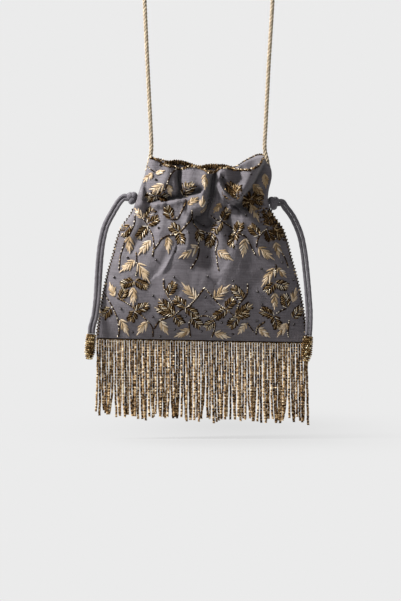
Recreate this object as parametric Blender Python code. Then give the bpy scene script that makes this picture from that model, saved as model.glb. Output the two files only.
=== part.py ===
"""A drawstring potli bag that hangs from its sling cord, built at its real size.

The sizes below are in millimetres and are written to the scene in metres. X runs
along the bag's width, -Y is the embroidered front and +Z is up. The origin is the
point on the underside of the sling's arch where a hook, rail or hand holds it.
Heights called h are measured up from the bottom seam.
"""
import math

import bpy
import numpy as np
from mathutils import Vector

UNIT = 0.001

# The hanging bag's outline
HANG_DROP = 421.0          # bottom seam below the underside of the sling's arch
BAG_HEIGHT = 182.0         # bottom seam to the corners of the rim
NECK_HEIGHT = 140.0        # bottom seam to the drawstring casing
BOTTOM_HALF_WIDTH = 105.5
NECK_HALF_WIDTH = 65.5
RIM_HALF_WIDTH = 59.5
RIM_LEAN = 6.5             # how far the collar leans towards +X
BODY_HALF_DEPTH = 21.0
NECK_HALF_DEPTH = 19.0
BOTTOM_ROUNDING = 70.0     # height over which the depth opens out from the bottom seam
NECK_EASE = 50.0           # height under the neck over which the depth draws in
LEAN_EASE = 6.0            # the collar starts to lean this far under the neck line
SLIT_EASE = 12.0           # height over which a side seam opens into its slit
FRONT_RIM_SAG = 11.0
BACK_RIM_SAG = 7.0
HEM_SLOPE = 0.02           # the hem drops this much per millimetre towards +X

# Share of the neck height, share of the way from neck width to bottom width
SIDE_OUTLINE = ((0.0, 1.0), (0.29, 0.855), (0.47, 0.715), (0.61, 0.575),
                (0.72, 0.475), (0.80, 0.37), (0.90, 0.13), (1.0, 0.0))

# Cloth and clearances
CLOTH = 1.2                # embroidered outer cloth
LINING_CLOTH = 0.8
GAP = 0.3                  # clearance between touching pieces
LINING_GAP = 0.9
LINING_BOTTOM = 10.0       # the lining's bottom above the bottom seam
LINING_SIDE_INSET = 3.5
LINING_CORNER = 9.0        # rounding of its bottom corners
LINING_SLACK = 2.5
LINING_EASE = (24.0, 12.0) # its sides draw in between these heights under the neck line
CASING_HALF_HEIGHT = 6.0   # full height of the casing on each side of the neck line
CASING_TAPER = 4.5
CHANNEL_SLACK = 2.4        # the casing is this much deeper than its string

# Drawstrings, knots and their beaded ends
STRING_DIAMETER = 3.0
STRING_LEVEL = 2.2         # each string runs this far above or below the neck line
STRING_SPREAD = 1.9        # half the distance between the two ends at an exit
KNOT_RADII = (4.8, 5.2, 6.4)
KNOT_WAIST = 0.16          # how far the hollows between its wraps draw in
BEAD_END_RADIUS = 5.0
BEAD_END_LENGTH = 25.0
BEAD_ROWS = 9
BEAD_RELIEF = 0.5

# Sling cord
SLING_DIAMETER = 3.4
SLING_TUCK = 13.0          # length of cord sewn into the slit at each rim corner
SLING_INSET = 1.0          # cord centre inside the side edge of the collar

# Beading and fringe
SEAM_BEAD_DIAMETER = 1.8
RIM_BEAD_DIAMETER = 1.6
HEM_BEAD_DIAMETER = 2.4
STRAND_COUNT = 83
STRAND_DIAMETER = 1.6
STRAND_LENGTH = 80.0
STRAND_VARIATION = 3.0
CORNER_SHORTENING = 7.0

# Raised embroidery
RELIEF = 0.9               # how far a worked leaf stands off the cloth
THREAD_LEAF = ((0.3, 4.0), (0.68, 3.4))   # share of the length, half width there
BEAD_LEAF = ((0.5, 3.8),)
PATTERN_MARGIN = 1.5       # leaves stay this far inside the panel's edges
MIRROR_X = 2.8             # the pattern's axis

# Gathers: place across the panel, half width (both as shares of it), depth at the
# neck, how far down it runs, and its drift across the panel per millimetre of height
FRONT_FOLDS = (
    (0.11, 0.050, 3.5, 24.0, 0.0000),
    (0.235, 0.055, 5.5, 46.0, 0.0010),
    (0.355, 0.045, 5.0, 26.0, -0.0006),
    (0.545, 0.072, 9.0, 52.0, 0.0012),
    (0.715, 0.050, 5.0, 44.0, 0.0010),
    (0.865, 0.050, 5.0, 30.0, 0.0012),
)
BACK_FOLDS = (
    (0.12, 0.055, 3.5, 28.0, 0.0000),
    (0.28, 0.065, 6.5, 50.0, 0.0006),
    (0.45, 0.055, 5.5, 34.0, -0.0006),
    (0.62, 0.065, 7.5, 54.0, 0.0008),
    (0.80, 0.055, 5.0, 38.0, 0.0000),
)
FRONT_COLUMNS = 26
BACK_COLUMNS = 20
BODY_ROWS = (0.21, 0.37, 0.54, 0.69, 0.79, 0.86)   # shares of the neck height
COLLAR_ROWS = 3

# Half of the leaf pattern: (from the axis, height) of each leaf's base and tip
THREAD_LEAVES = (
    ((89, 42), (94, 57)), ((70, 52), (70.5, 32)), ((85, 19), (74, 3)),
    ((56.5, 17), (69, 6)), ((44, 17), (34, 6)), ((66.5, 75), (54, 56)),
    ((69.5, 78), (84.5, 66)), ((9, 41), (23, 57)), ((14.5, 11), (31, 3)),
    ((75.5, 102), (75, 84)), ((55, 98), (67, 85)), ((38.5, 101), (36, 85)),
    ((8, 93), (26.5, 81)),
)
BEAD_LEAVES = (
    ((71, 60), (84, 54)), ((68, 60), (56, 51)), ((85, 41), (80, 51)),
    ((70, 30), (55, 34)), ((69, 28), (74, 17)), ((93, 31), (102, 24)),
    ((36, 45), (29, 58)), ((19, 33), (30, 41)), ((32, 33), (45.5, 40)),
    ((33, 25), (50, 31)), ((30, 24), (22, 15)), ((18, 31), (6.5, 22)),
    ((12, 19), (4, 12.5)), ((56, 114), (45, 121)), ((57, 112), (68, 101)),
    ((26, 107), (35, 114)), ((27, 106), (23, 93)),
)
# Leaves on the collar and gathers: (from the bag's centre line, height)
COLLAR_THREAD_LEAVES = (
    ((-46, 167), (-34, 167)), ((-49, 167), (-59, 157)), ((-37, 156), (-55, 147)),
    ((-35, 155), (-29, 143)), ((4, 166), (3, 151)), ((2, 143), (-1, 127)),
    ((64, 168), (64, 149)), ((49, 154), (64, 145)), ((52, 134), (55, 123)),
    ((-58, 121), (-67, 132)),
)
COLLAR_BEAD_LEAVES = (
    ((-46, 144.5), (-55, 139)), ((-45, 145), (-33, 143)), ((-21, 147), (-7, 157)),
    ((27, 159), (34, 141)), ((59, 139.5), (41, 139.5)), ((-31, 122), (-37, 135)),
    ((-53, 121), (-49, 133)), ((20, 119), (27, 132)), ((20, 117), (12, 107)),
    ((11, 106), (6, 93)),
)

MATERIALS = {
    "cloth": ((0.135, 0.125, 0.140), 0.85, 0.0),
    "lining": ((0.20, 0.19, 0.22), 0.8, 0.0),
    "string_cloth": ((0.125, 0.115, 0.125), 0.85, 0.0),
    "gold_cord": ((0.50, 0.38, 0.24), 0.55, 0.2),
    "antique_beads": ((0.26, 0.17, 0.07), 0.3, 0.8),
    "fringe_beads": ((0.34, 0.25, 0.16), 0.3, 0.6),
}


def clear_scene():
    for old in list(bpy.data.objects):
        bpy.data.objects.remove(old)


def material(slot):
    """The Principled material of a slot, made once."""
    found = bpy.data.materials.get(slot)
    if found:
        return found
    colour, roughness, metallic = MATERIALS[slot]
    made = bpy.data.materials.new(slot)
    made.use_nodes = True
    shader = made.node_tree.nodes["Principled BSDF"]
    shader.inputs["Base Color"].default_value = (*colour, 1.0)
    shader.inputs["Roughness"].default_value = roughness
    shader.inputs["Metallic"].default_value = metallic
    return made


def add_mesh(name, points, faces, slot, smooth=True):
    """A named object from points in millimetres."""
    mesh = bpy.data.meshes.new(name)
    mesh.from_pydata([Vector(p) * UNIT for p in points], [], faces)
    mesh.materials.append(material(slot))
    if smooth:
        mesh.shade_smooth()
        mesh.set_sharp_from_angle(angle=math.radians(40))
    obj = bpy.data.objects.new(name, mesh)
    bpy.context.scene.collection.objects.link(obj)
    return obj


def make_helper(obj):
    """Marks an object that only shapes another one."""
    obj.hide_render = True
    obj.display_type = "WIRE"
    return obj


def smoothstep(value, low, high):
    """0 below low, 1 above high and smooth between them."""
    t = min(max((value - low) / (high - low), 0.0), 1.0)
    return t * t * (3 - 2 * t)


def profile(points, at):
    """A smooth curve through (place, value) points, read at one place."""
    places = [p for p, _ in points]
    values = [v for _, v in points]
    slopes = np.gradient(values, places)
    k = min(max(int(np.searchsorted(places, at)) - 1, 0), len(points) - 2)
    step = places[k + 1] - places[k]
    t = min(max((at - places[k]) / step, 0.0), 1.0)
    start = (1 + 2 * t) * (1 - t) ** 2 * values[k] + t * (1 - t) ** 2 * step * slopes[k]
    end = t * t * (3 - 2 * t) * values[k + 1] + t * t * (t - 1) * step * slopes[k + 1]
    return float(start + end)


# The bag's shape. side is -1 for the front and +1 for the back, s runs from 0 at the
# left side seam to 1 at the right one.

def half_width(h):
    if h <= NECK_HEIGHT:
        widening = profile(SIDE_OUTLINE, h / NECK_HEIGHT)
        return NECK_HALF_WIDTH + (BOTTOM_HALF_WIDTH - NECK_HALF_WIDTH) * widening
    share = (h - NECK_HEIGHT) / (BAG_HEIGHT - NECK_HEIGHT)
    return NECK_HALF_WIDTH + (RIM_HALF_WIDTH - NECK_HALF_WIDTH) * share


def centre_x(h):
    return RIM_LEAN * smoothstep(h, NECK_HEIGHT - LEAN_EASE, BAG_HEIGHT)


def edge_x(end, h):
    """X of the left (-1) or right (+1) side edge."""
    return centre_x(h) + end * half_width(h)


def half_depth(h):
    opened = min(h / BOTTOM_ROUNDING, 1.0)
    body = BODY_HALF_DEPTH * (1 - (1 - opened) ** 2) ** 0.8
    towards_neck = smoothstep(h, NECK_HEIGHT - NECK_EASE, NECK_HEIGHT)
    return body + (NECK_HALF_DEPTH - BODY_HALF_DEPTH) * towards_neck


def at_casing(h):
    """1 inside the drawstring casing, 0 well above and below it."""
    away = abs(h - NECK_HEIGHT)
    return 1 - smoothstep(away, CASING_HALF_HEIGHT, CASING_HALF_HEIGHT + CASING_TAPER)


def seam_opening(h):
    """Half the gap between the panels at a side seam: sewn shut below the casing, open
    for the string ends at the casing, and a slit for the sling's end above it."""
    closed = GAP / 2
    casing = STRING_SPREAD + STRING_DIAMETER / 2 + 1.6 * GAP
    slit = SLING_DIAMETER / 2 + 1.3 * GAP
    above = closed + (slit - closed) * smoothstep(h, NECK_HEIGHT, NECK_HEIGHT + SLIT_EASE)
    return above + (casing - above) * at_casing(h)


def fold_reach(h, reach):
    """How much of a gather's depth is left at height h."""
    if h < NECK_HEIGHT:
        return math.exp(-(((NECK_HEIGHT - h) / reach) ** 2))
    return 1 - 0.3 * (h - NECK_HEIGHT) / (BAG_HEIGHT - NECK_HEIGHT)


def gathers(side, s, h):
    """Depth of the folds that the drawstrings pull into a panel."""
    total = 0.0
    for place, width, depth, reach, drift in FRONT_FOLDS if side < 0 else BACK_FOLDS:
        away = (s - place - drift * (h - NECK_HEIGHT)) / width
        total += depth * math.exp(-away * away) * fold_reach(h, reach)
    return total


def inner_depth(side, s, h):
    """Distance of a panel's inner face from the seam plane."""
    across = 1 - (2 * s - 1) ** 2
    fullness = 0.75 - 0.25 * smoothstep(h, NECK_HEIGHT - NECK_EASE, NECK_HEIGHT)
    lens = max(across, 0.0) ** fullness
    folded = gathers(side, s, h) * min(1.0, lens * 1.6)
    return seam_opening(h) + half_depth(h) * lens - folded


def rim_height(side, s):
    sag = FRONT_RIM_SAG if side < 0 else BACK_RIM_SAG
    return BAG_HEIGHT - sag * math.sin(math.pi * s) ** 0.8


def bag_point(x, depth, side, h):
    """A point of the hanging bag, with its hem tilted a little."""
    tilt = HEM_SLOPE * x * (1 - h / BAG_HEIGHT)
    return (x, side * depth, h - tilt - HANG_DROP)


def rows(low):
    """Heights of the grid's rows, close together where the cloth is gathered."""
    casing_top = CASING_HALF_HEIGHT + CASING_TAPER
    body = [LINING_BOTTOM] + [NECK_HEIGHT * share for share in BODY_ROWS]
    casing = [NECK_HEIGHT - casing_top, NECK_HEIGHT - CASING_HALF_HEIGHT, NECK_HEIGHT,
              NECK_HEIGHT + CASING_HALF_HEIGHT, NECK_HEIGHT + casing_top]
    collar = (BAG_HEIGHT - NECK_HEIGHT - casing_top) / COLLAR_ROWS
    above = [NECK_HEIGHT + casing_top + collar * (k + 1) for k in range(COLLAR_ROWS)]
    return [low] + [h for h in body + casing if h > low] + above


def at_rim(side, s, h):
    """A row's height where the rim sags: the collar's rows close up towards it."""
    casing_top = NECK_HEIGHT + CASING_HALF_HEIGHT + CASING_TAPER
    if h <= casing_top:
        return h
    share = (h - casing_top) / (BAG_HEIGHT - casing_top)
    return casing_top + share * (rim_height(side, s) - casing_top)


def panel_columns(side):
    count = FRONT_COLUMNS if side < 0 else BACK_COLUMNS
    return [k / count for k in range(count + 1)]


def grid_faces(columns, count_rows, start, flip):
    """Triangles of a grid whose points are stored row by row, all split the same way so
    that the two faces of a sheet stay parallel."""
    faces = []
    for r in range(count_rows - 1):
        for c in range(columns - 1):
            a = start + r * columns + c
            for corners in ((a, a + 1, a + 1 + columns), (a, a + 1 + columns, a + columns)):
                faces.append(corners[::-1] if flip else corners)
    return faces


def sheet_solid(outer, inner, side):
    """Points and faces of a closed sheet between two grids of the same size."""
    count_rows, columns = len(outer), len(outer[0])
    points = [p for row in outer for p in row] + [p for row in inner for p in row]
    back = count_rows * columns
    faces = grid_faces(columns, count_rows, 0, side > 0)
    faces += grid_faces(columns, count_rows, back, side < 0)
    rim = [c for c in range(columns)]
    rim += [r * columns + columns - 1 for r in range(1, count_rows)]
    rim += [(count_rows - 1) * columns + c for c in range(columns - 2, -1, -1)]
    rim += [r * columns for r in range(count_rows - 2, 0, -1)]
    for a, b in zip(rim, rim[1:] + rim[:1]):
        quad = (a, a + back, b + back, b)
        faces.append(quad[::-1] if side > 0 else quad)
    return points, faces


def panel_grid(side, offset, heights):
    """Rows of points on a panel, offset outwards from its inner face."""
    grid = []
    for h in heights:
        row = []
        for s in panel_columns(side):
            level = at_rim(side, s, h)
            x = edge_x(-1, level) + 2 * half_width(level) * s
            row.append(bag_point(x, inner_depth(side, s, level) + offset, side, level))
        grid.append(row)
    return grid


def add_panel(name, side):
    heights = rows(0)
    points, faces = sheet_solid(panel_grid(side, CLOTH, heights), panel_grid(side, 0, heights), side)
    return add_mesh(name, points, faces, "cloth")


# Embroidery in relief on the front panel

def leaf_outline(base, tip, corners):
    """A leaf in the front plane, anticlockwise seen from the front. Its corners are
    (share of the length, half width) pairs along the leaf's left side."""
    base, tip = Vector(base), Vector(tip)
    along = tip - base
    across = Vector((-along.y, along.x)).normalized()
    right = [base + along * share - across * half for share, half in corners]
    left = [base + along * share + across * half for share, half in reversed(corners)]
    return [base, *right, tip, *left]


def mirrored(leaves):
    """Leaves given from the pattern's axis, on both sides of it."""
    both = []
    for base, tip in leaves:
        for way in (-1, 1):
            both.append(((MIRROR_X + way * base[0], base[1]), (MIRROR_X + way * tip[0], tip[1])))
    return both


def leaf_outlines():
    """The outlines of all worked leaves that lie on the front panel."""
    worked = [(leaf, THREAD_LEAF) for leaf in (*mirrored(THREAD_LEAVES), *COLLAR_THREAD_LEAVES)]
    worked += [(leaf, BEAD_LEAF) for leaf in (*mirrored(BEAD_LEAVES), *COLLAR_BEAD_LEAVES)]
    outlines = [leaf_outline(*leaf, corners) for leaf, corners in worked]
    return [outline for outline in outlines if all(fits_on_panel(corner) for corner in outline)]


def fits_on_panel(corner):
    """True where a pattern point lies inside the panel's edges."""
    x, h = corner
    if not PATTERN_MARGIN < h < BAG_HEIGHT - FRONT_RIM_SAG - PATTERN_MARGIN:
        return False
    return edge_x(-1, h) + PATTERN_MARGIN < x < edge_x(1, h) - PATTERN_MARGIN


def add_leaf_prisms():
    """Prisms through the front panel, one for each leaf."""
    reach = 2 * (BODY_HALF_DEPTH + CLOTH + RELIEF)
    points, faces = [], []
    for outline in leaf_outlines():
        start = len(points)
        count = len(outline)
        points += [bag_point(x, depth, -1, h) for depth in (reach, 0.0) for x, h in outline]
        front = list(range(start, start + count))
        back = [k + count for k in front]
        faces += [tuple(front), tuple(reversed(back))]
        faces += [(front[k], back[k], back[(k + 1) % count], front[(k + 1) % count]) for k in range(count)]
    return make_helper(add_mesh("leaf_prisms", points, faces, "antique_beads", smooth=False))


def add_embroidery(panel):
    """Raises the worked leaves on the front panel: the part of a thicker shell that lies
    inside the leaves' prisms is joined to the panel."""
    heights = rows(0)
    points, faces = sheet_solid(panel_grid(-1, CLOTH + RELIEF, heights),
                                panel_grid(-1, CLOTH / 2, heights), -1)
    shell = make_helper(add_mesh("leaf_relief", points, faces, "cloth"))
    cut = shell.modifiers.new("inside_the_leaves", "BOOLEAN")
    cut.operation = "INTERSECT"
    cut.use_self = True
    cut.object = add_leaf_prisms()
    join = panel.modifiers.new("raised_leaves", "BOOLEAN")
    join.operation = "UNION"
    join.object = shell


# Lining

def lining_inset(h):
    """How far the lining's side edge stays inside the side seam."""
    corner = LINING_CORNER * math.exp(-(h - LINING_BOTTOM) / LINING_CORNER)
    above = STRING_DIAMETER + LINING_GAP + CLOTH / 2
    start, end = (NECK_HEIGHT - ease for ease in LINING_EASE)
    return LINING_SIDE_INSET + corner + above * smoothstep(h, start, end)


def lining_clearance(h):
    """Room between the panels and the lining: the casing holds the strings, and the
    lining's bottom corners lie a little freer."""
    corner = LINING_SLACK * math.exp(-(h - LINING_BOTTOM) / LINING_CORNER)
    channel = STRING_DIAMETER + CHANNEL_SLACK
    return LINING_GAP + corner + (channel - LINING_GAP) * at_casing(h)


def panel_inner_at(side, x, h):
    """Inner depth of the faceted panel at x, read between its columns."""
    columns = panel_columns(side)
    places = [edge_x(-1, h) + 2 * half_width(h) * s for s in columns]
    return float(np.interp(x, places, [inner_depth(side, s, h) for s in columns]))


def lining_half(side, h, thickness):
    """One row of half of the lining, left to right, offset inwards from its outer face."""
    inset = lining_inset(h) + thickness
    columns = panel_columns(side)[2:-2]
    row = []
    for s in [0.0, *columns, 1.0]:
        level = at_rim(side, s, h)
        left, right = edge_x(-1, level), edge_x(1, level)
        x = left + (right - left) * s
        x = min(max(x, left + inset), right - inset)
        depth = panel_inner_at(side, x, level) - lining_clearance(level) - thickness
        if s in (0.0, 1.0):
            depth -= at_casing(level)
        row.append(bag_point(x, max(depth, LINING_CLOTH + GAP - thickness), side, level))
    return row


def lining_ring(h, thickness):
    """A closed ring of points: the front from left to right, then the back."""
    front = lining_half(-1, h, thickness)
    back = lining_half(1, h, thickness)
    return front + back[::-1]


def add_lining():
    """The inner bag: a wall with an outer and an inner face, closed along the bottom."""
    heights = rows(LINING_BOTTOM)
    outer = [lining_ring(h, 0.0) for h in heights]
    inner = [lining_ring(h, LINING_CLOTH) for h in heights]
    inner[0] = [(x, y, z + LINING_CLOTH) for x, y, z in inner[0]]
    around = len(outer[0])
    points = [p for ring in outer + inner for p in ring]
    levels = len(heights)
    start = levels * around
    faces = []
    for r in range(levels - 1):
        for c in range(around):
            d = (c + 1) % around
            a, b = r * around + c, r * around + d
            faces.append((a, b, b + around, a + around))
            faces.append((start + a, start + a + around, start + b + around, start + b))
    top = (levels - 1) * around
    for c in range(around):
        d = (c + 1) % around
        faces.append((top + c, top + d, start + top + d, start + top + c))
    faces += bottom_faces(len(lining_half(-1, heights[0], 0.0)), around, 0, False)
    faces += bottom_faces(len(lining_half(-1, heights[0], 0.0)), around, start, True)
    return add_mesh("lining", points, faces, "lining")


def bottom_faces(front_count, around, start, flip):
    """Joins the front and back halves of a ring across the bag's bottom."""
    left, right = 0, front_count - 1
    near = [start + k for k in range(left, right + 1)]
    far = [start + k for k in range(around - 1, front_count - 1, -1)]
    faces = []
    i = j = 0
    while i < len(near) - 1 or j < len(far) - 1:
        along_near = (i + 1) / (len(near) - 1)
        along_far = (j + 1) / (len(far) - 1)
        if along_near <= along_far:
            faces.append((near[i + 1], near[i], far[j]))
            i += 1
        else:
            faces.append((near[i], far[j], far[j + 1]))
            j += 1
    return [face[::-1] for face in faces] if flip else faces


# Cords: drawstrings, sling and bead edgings

def smooth_route(points, step):
    """A Catmull-Rom curve through points, read about every step millimetres."""
    ends = [2 * Vector(points[0]) - Vector(points[1])]
    control = ends + [Vector(p) for p in points] + [2 * Vector(points[-1]) - Vector(points[-2])]
    route = [control[1]]
    for a, b, c, d in zip(control, control[1:], control[2:], control[3:]):
        count = max(1, round((c - b).length / step))
        for k in range(1, count + 1):
            t = k / count
            route.append(0.5 * ((2 * b) + (c - a) * t + (2 * a - 5 * b + 4 * c - d) * t * t
                                + (3 * b - a - 3 * c + d) * t ** 3))
    return route


def add_tube(name, route, diameter, slot):
    """A round cord along a route, with filled ends."""
    curve = bpy.data.curves.new(name, "CURVE")
    curve.dimensions = "3D"
    curve.bevel_depth = diameter / 2 * UNIT
    curve.bevel_resolution = 2
    curve.use_fill_caps = True
    spline = curve.splines.new("POLY")
    spline.points.add(len(route) - 1)
    for point, place in zip(spline.points, route):
        point.co = (*(Vector(place) * UNIT), 1.0)
    curve.materials.append(material(slot))
    obj = bpy.data.objects.new(name, curve)
    bpy.context.scene.collection.objects.link(obj)
    return obj


def casing_track(side, h):
    """The middle of the channel between a panel and the lining, as (x, depth)."""
    track = []
    clear = lining_clearance(h) / 2
    columns = panel_columns(side)
    width = 2 * half_width(h)
    for s in columns[1:-1]:
        nudge = 0.5 * columns[1]
        rise = inner_depth(side, s + nudge, h) - inner_depth(side, s - nudge, h)
        inward = Vector((rise, -2 * nudge * width)).normalized()
        room = clear * max(-inward.y, 0.75)
        track.append((edge_x(-1, h) + width * s + inward.x * room,
                      inner_depth(side, s, h) + inward.y * room))
    return track


def casing_route(end, level):
    """A drawstring's run: in at its own side, round the far side and back."""
    h = NECK_HEIGHT + level
    runs = []
    for side in (-1, 1):
        run = [bag_point(x, depth, side, h) for x, depth in casing_track(side, h)]
        runs.append(run if end < 0 else run[::-1])
    near, far = edge_x(end, h), edge_x(-end, h)
    bend = STRING_DIAMETER / 2 + 2 * GAP
    mouth = [(near + end * GAP / 3, STRING_SPREAD), (near - end * bend * 1.4, STRING_SPREAD * 1.6)]
    way_in = [bag_point(x, depth, -1, h) for x, depth in mouth]
    way_out = [bag_point(x, depth, 1, h) for x, depth in reversed(mouth)]
    turn = [bag_point(far + end * bend * 1.6, STRING_DIAMETER * 1.6, -1, h),
            bag_point(far + end * bend, 0.0, 1, h),
            bag_point(far + end * bend * 1.6, STRING_DIAMETER * 1.6, 1, h)]
    return [*way_in, *runs[0], *turn, *reversed(runs[1]), *way_out]


def knot_centre(end):
    h = NECK_HEIGHT - end * STRING_LEVEL
    return Vector(bag_point(edge_x(end, h) + end * (KNOT_RADII[0] + GAP), 0.0, -1, h))


def add_knot(name, end):
    """The lump of the overhand knot where a drawstring's two ends are tied."""
    rings, around = 8, 12
    centre = knot_centre(end)
    points = [centre + Vector((0, 0, -KNOT_RADII[2]))]
    for r in range(1, rings):
        polar = math.pi * r / rings
        for k in range(around):
            turn = 2 * math.pi * k / around
            wrap = 1 - KNOT_WAIST * math.sin(1.5 * turn + polar) ** 2 * math.sin(2 * turn) ** 2
            out = math.sin(polar) * wrap
            offset = (KNOT_RADII[0] * out * math.cos(turn), KNOT_RADII[1] * out * math.sin(turn),
                      -KNOT_RADII[2] * math.cos(polar))
            points.append(centre + Vector(offset))
    points.append(centre + Vector((0, 0, KNOT_RADII[2])))
    last = len(points) - 1
    faces = []
    for k in range(around):
        n = (k + 1) % around
        faces.append((0, 1 + n, 1 + k))
        top = 1 + (rings - 2) * around
        faces.append((top + k, top + n, last))
        for r in range(rings - 2):
            a, b = 1 + r * around + k, 1 + r * around + n
            faces.append((a, b, b + around, a + around))
    return add_mesh(name, points, faces, "string_cloth")


# Drawstring tails below the knots, as (x, y, height) along the pair's middle
LEFT_TAIL = ((-83.0, -1.0, 138.0), (-89.5, -1.5, 127.3), (-96.2, -2.0, 114.0), (-100.0, -2.5, 98.6),
             (-102.0, -3.0, 83.3), (-103.2, -3.8, 66.1), (-104.0, -4.8, 50.8), (-105.0, -6.0, 37.4),
             (-106.8, -7.6, 24.0), (-109.6, -9.2, 13.5), (-110.2, -9.4, 6.5))
RIGHT_TAIL = ((83.6, -0.8, 132.6), (88.6, -1.4, 126.0), (93.2, -2.0, 117.7), (98.4, -2.5, 104.3),
              (101.6, -3.0, 89.0), (103.4, -3.6, 73.7), (104.8, -4.4, 58.4), (106.0, -5.6, 43.1),
              (106.9, -7.6, 27.8), (106.4, -9.6, 11.5), (105.8, -9.8, 4.5))
TAIL_LEAD = 3.5            # the tails leave their knot straight out for this far


def tail_points(end):
    start = knot_centre(end) + Vector((end * (KNOT_RADII[0] + 1.5 * GAP), 0, 0))
    lead = start + Vector((end * TAIL_LEAD, 0, 0))
    hanging = [Vector((x, y, h - HANG_DROP)) for x, y, h in (LEFT_TAIL if end < 0 else RIGHT_TAIL)]
    return [start, lead, *hanging]


def tail_route(end, strand):
    """One strand of a tail: strand -1 lies outside the pair's middle and +1 inside."""
    start, *below = tail_points(end)
    middle = [start] + smooth_route(below, STRING_DIAMETER * 3)
    apart = STRING_DIAMETER / 2 + GAP
    route = []
    for k, point in enumerate(middle):
        ahead = middle[min(k + 1, len(middle) - 1)] - middle[max(k - 1, 0)]
        across = Vector((ahead.z, 0, -ahead.x)).normalized()
        route.append(point + across * apart * strand)
    return route


def add_bead_end(name, end):
    """The beaded barrel on a drawstring's end: rows of beads as rings round a core."""
    above, top = tail_points(end)[-2:]
    turn = Vector((0, 0, -1)).rotation_difference(top - above).to_matrix()
    around = 12
    core = BEAD_END_RADIUS - BEAD_RELIEF
    outline = [(core, GAP)]
    for row in range(BEAD_ROWS):
        low = GAP + BEAD_END_LENGTH * row / BEAD_ROWS
        outline += [(BEAD_END_RADIUS, low + BEAD_END_LENGTH / BEAD_ROWS / 2),
                    (core, low + BEAD_END_LENGTH / BEAD_ROWS)]
    points = []
    for radius, down in outline:
        for k in range(around):
            angle = 2 * math.pi * k / around
            local = Vector((radius * math.cos(angle), radius * math.sin(angle), -down))
            points.append(top + turn @ local)
    faces = [tuple(range(around))]
    for r in range(len(outline) - 1):
        for k in range(around):
            n = (k + 1) % around
            a, b = r * around + k, r * around + n
            faces.append((a, a + around, b + around, b))
    last = (len(outline) - 1) * around
    faces.append(tuple(last + k for k in reversed(range(around))))
    return add_mesh(name, points, faces, "antique_beads")


# The sling's arch above the rim, as (x, height) along the cord
SLING_LEFT_RUN = ((-50.6, 192), (-51.4, 215), (-53.2, 250), (-54.9, 285), (-57.4, 340), (-58.0, 362))
SLING_RIGHT_RUN = ((70.9, 362), (70.6, 340), (67.0, 280), (65.2, 245), (63.6, 213), (62.7, 192))
SLING_ARCH = ((-54.0, 386), (-41.0, 408), (-22.0, 419.5), (0.0, 422.7), (24.0, 420.6), (48.0, 411), (65.0, 389))


def sling_route():
    """From the slit at the left rim corner, over the arch, to the slit at the right."""
    lift = HANG_DROP + SLING_DIAMETER / 2 - SLING_ARCH[3][1]
    low = BAG_HEIGHT - SLING_TUCK
    top = BAG_HEIGHT - SLING_DIAMETER
    tucked = [[(edge_x(end, h) - end * SLING_INSET, h) for h in (low, top)] for end in (-1, 1)]
    points = [*tucked[0], *SLING_LEFT_RUN]
    points += [(x, h + lift) for x, h in SLING_ARCH]
    points += [*SLING_RIGHT_RUN, *reversed(tucked[1])]
    return smooth_route([(x, 0.0, h - HANG_DROP) for x, h in points], SLING_DIAMETER * 3)


def side_beading_route(end):
    """Beads sewn along a side seam, from the hem to under the casing."""
    top = NECK_HEIGHT - CASING_HALF_HEIGHT - CASING_TAPER - SEAM_BEAD_DIAMETER / 2
    heights = [SEAM_BEAD_DIAMETER] + [h for h in rows(0) if SEAM_BEAD_DIAMETER < h < top] + [top]
    route = []
    for h in heights:
        slope = (edge_x(end, h + GAP) - edge_x(end, h - GAP)) / (2 * GAP)
        out = (SEAM_BEAD_DIAMETER / 2 + 1.3 * GAP) * math.hypot(1, slope)
        route.append(bag_point(edge_x(end, h) + end * out, 0.0, -1, h))
    return route


def rim_beading_route(side):
    """Beads sewn along the rim of one panel."""
    lift = RIM_BEAD_DIAMETER / 2 + GAP
    route = []
    for s in panel_columns(side)[1:-1]:
        h = rim_height(side, s)
        x = edge_x(-1, h) + 2 * half_width(h) * s
        x0, y0, z0 = bag_point(x, inner_depth(side, s, h) + CLOTH / 2, side, h)
        route.append((x0, y0, z0 + lift))
    return route


# Hem beading with its fringe

def strand_length(k):
    """Strand lengths vary by hand and shorten towards the left corner."""
    wobble = math.sin(k * 2.399) * 0.6 + math.sin(k * 0.71 + 1.0) * 0.4
    corner = math.exp(-k / 4.0)
    return STRAND_LENGTH + STRAND_VARIATION * wobble - CORNER_SHORTENING * corner


def cylinder(start, end, radius, sides):
    """Points and faces of a closed cylinder between two points."""
    axis = (end - start).normalized()
    side = axis.orthogonal().normalized()
    across = axis.cross(side)
    points = []
    for place in (start, end):
        for k in range(sides):
            angle = 2 * math.pi * k / sides
            points.append(place + (side * math.cos(angle) + across * math.sin(angle)) * radius)
    faces = [tuple(reversed(range(sides))), tuple(range(sides, 2 * sides))]
    faces += [(k, (k + 1) % sides, (k + 1) % sides + sides, k + sides) for k in range(sides)]
    return points, faces


def hem_point(x, below):
    return Vector((x, 0.0, -HANG_DROP - HEM_SLOPE * x - below))


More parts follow.
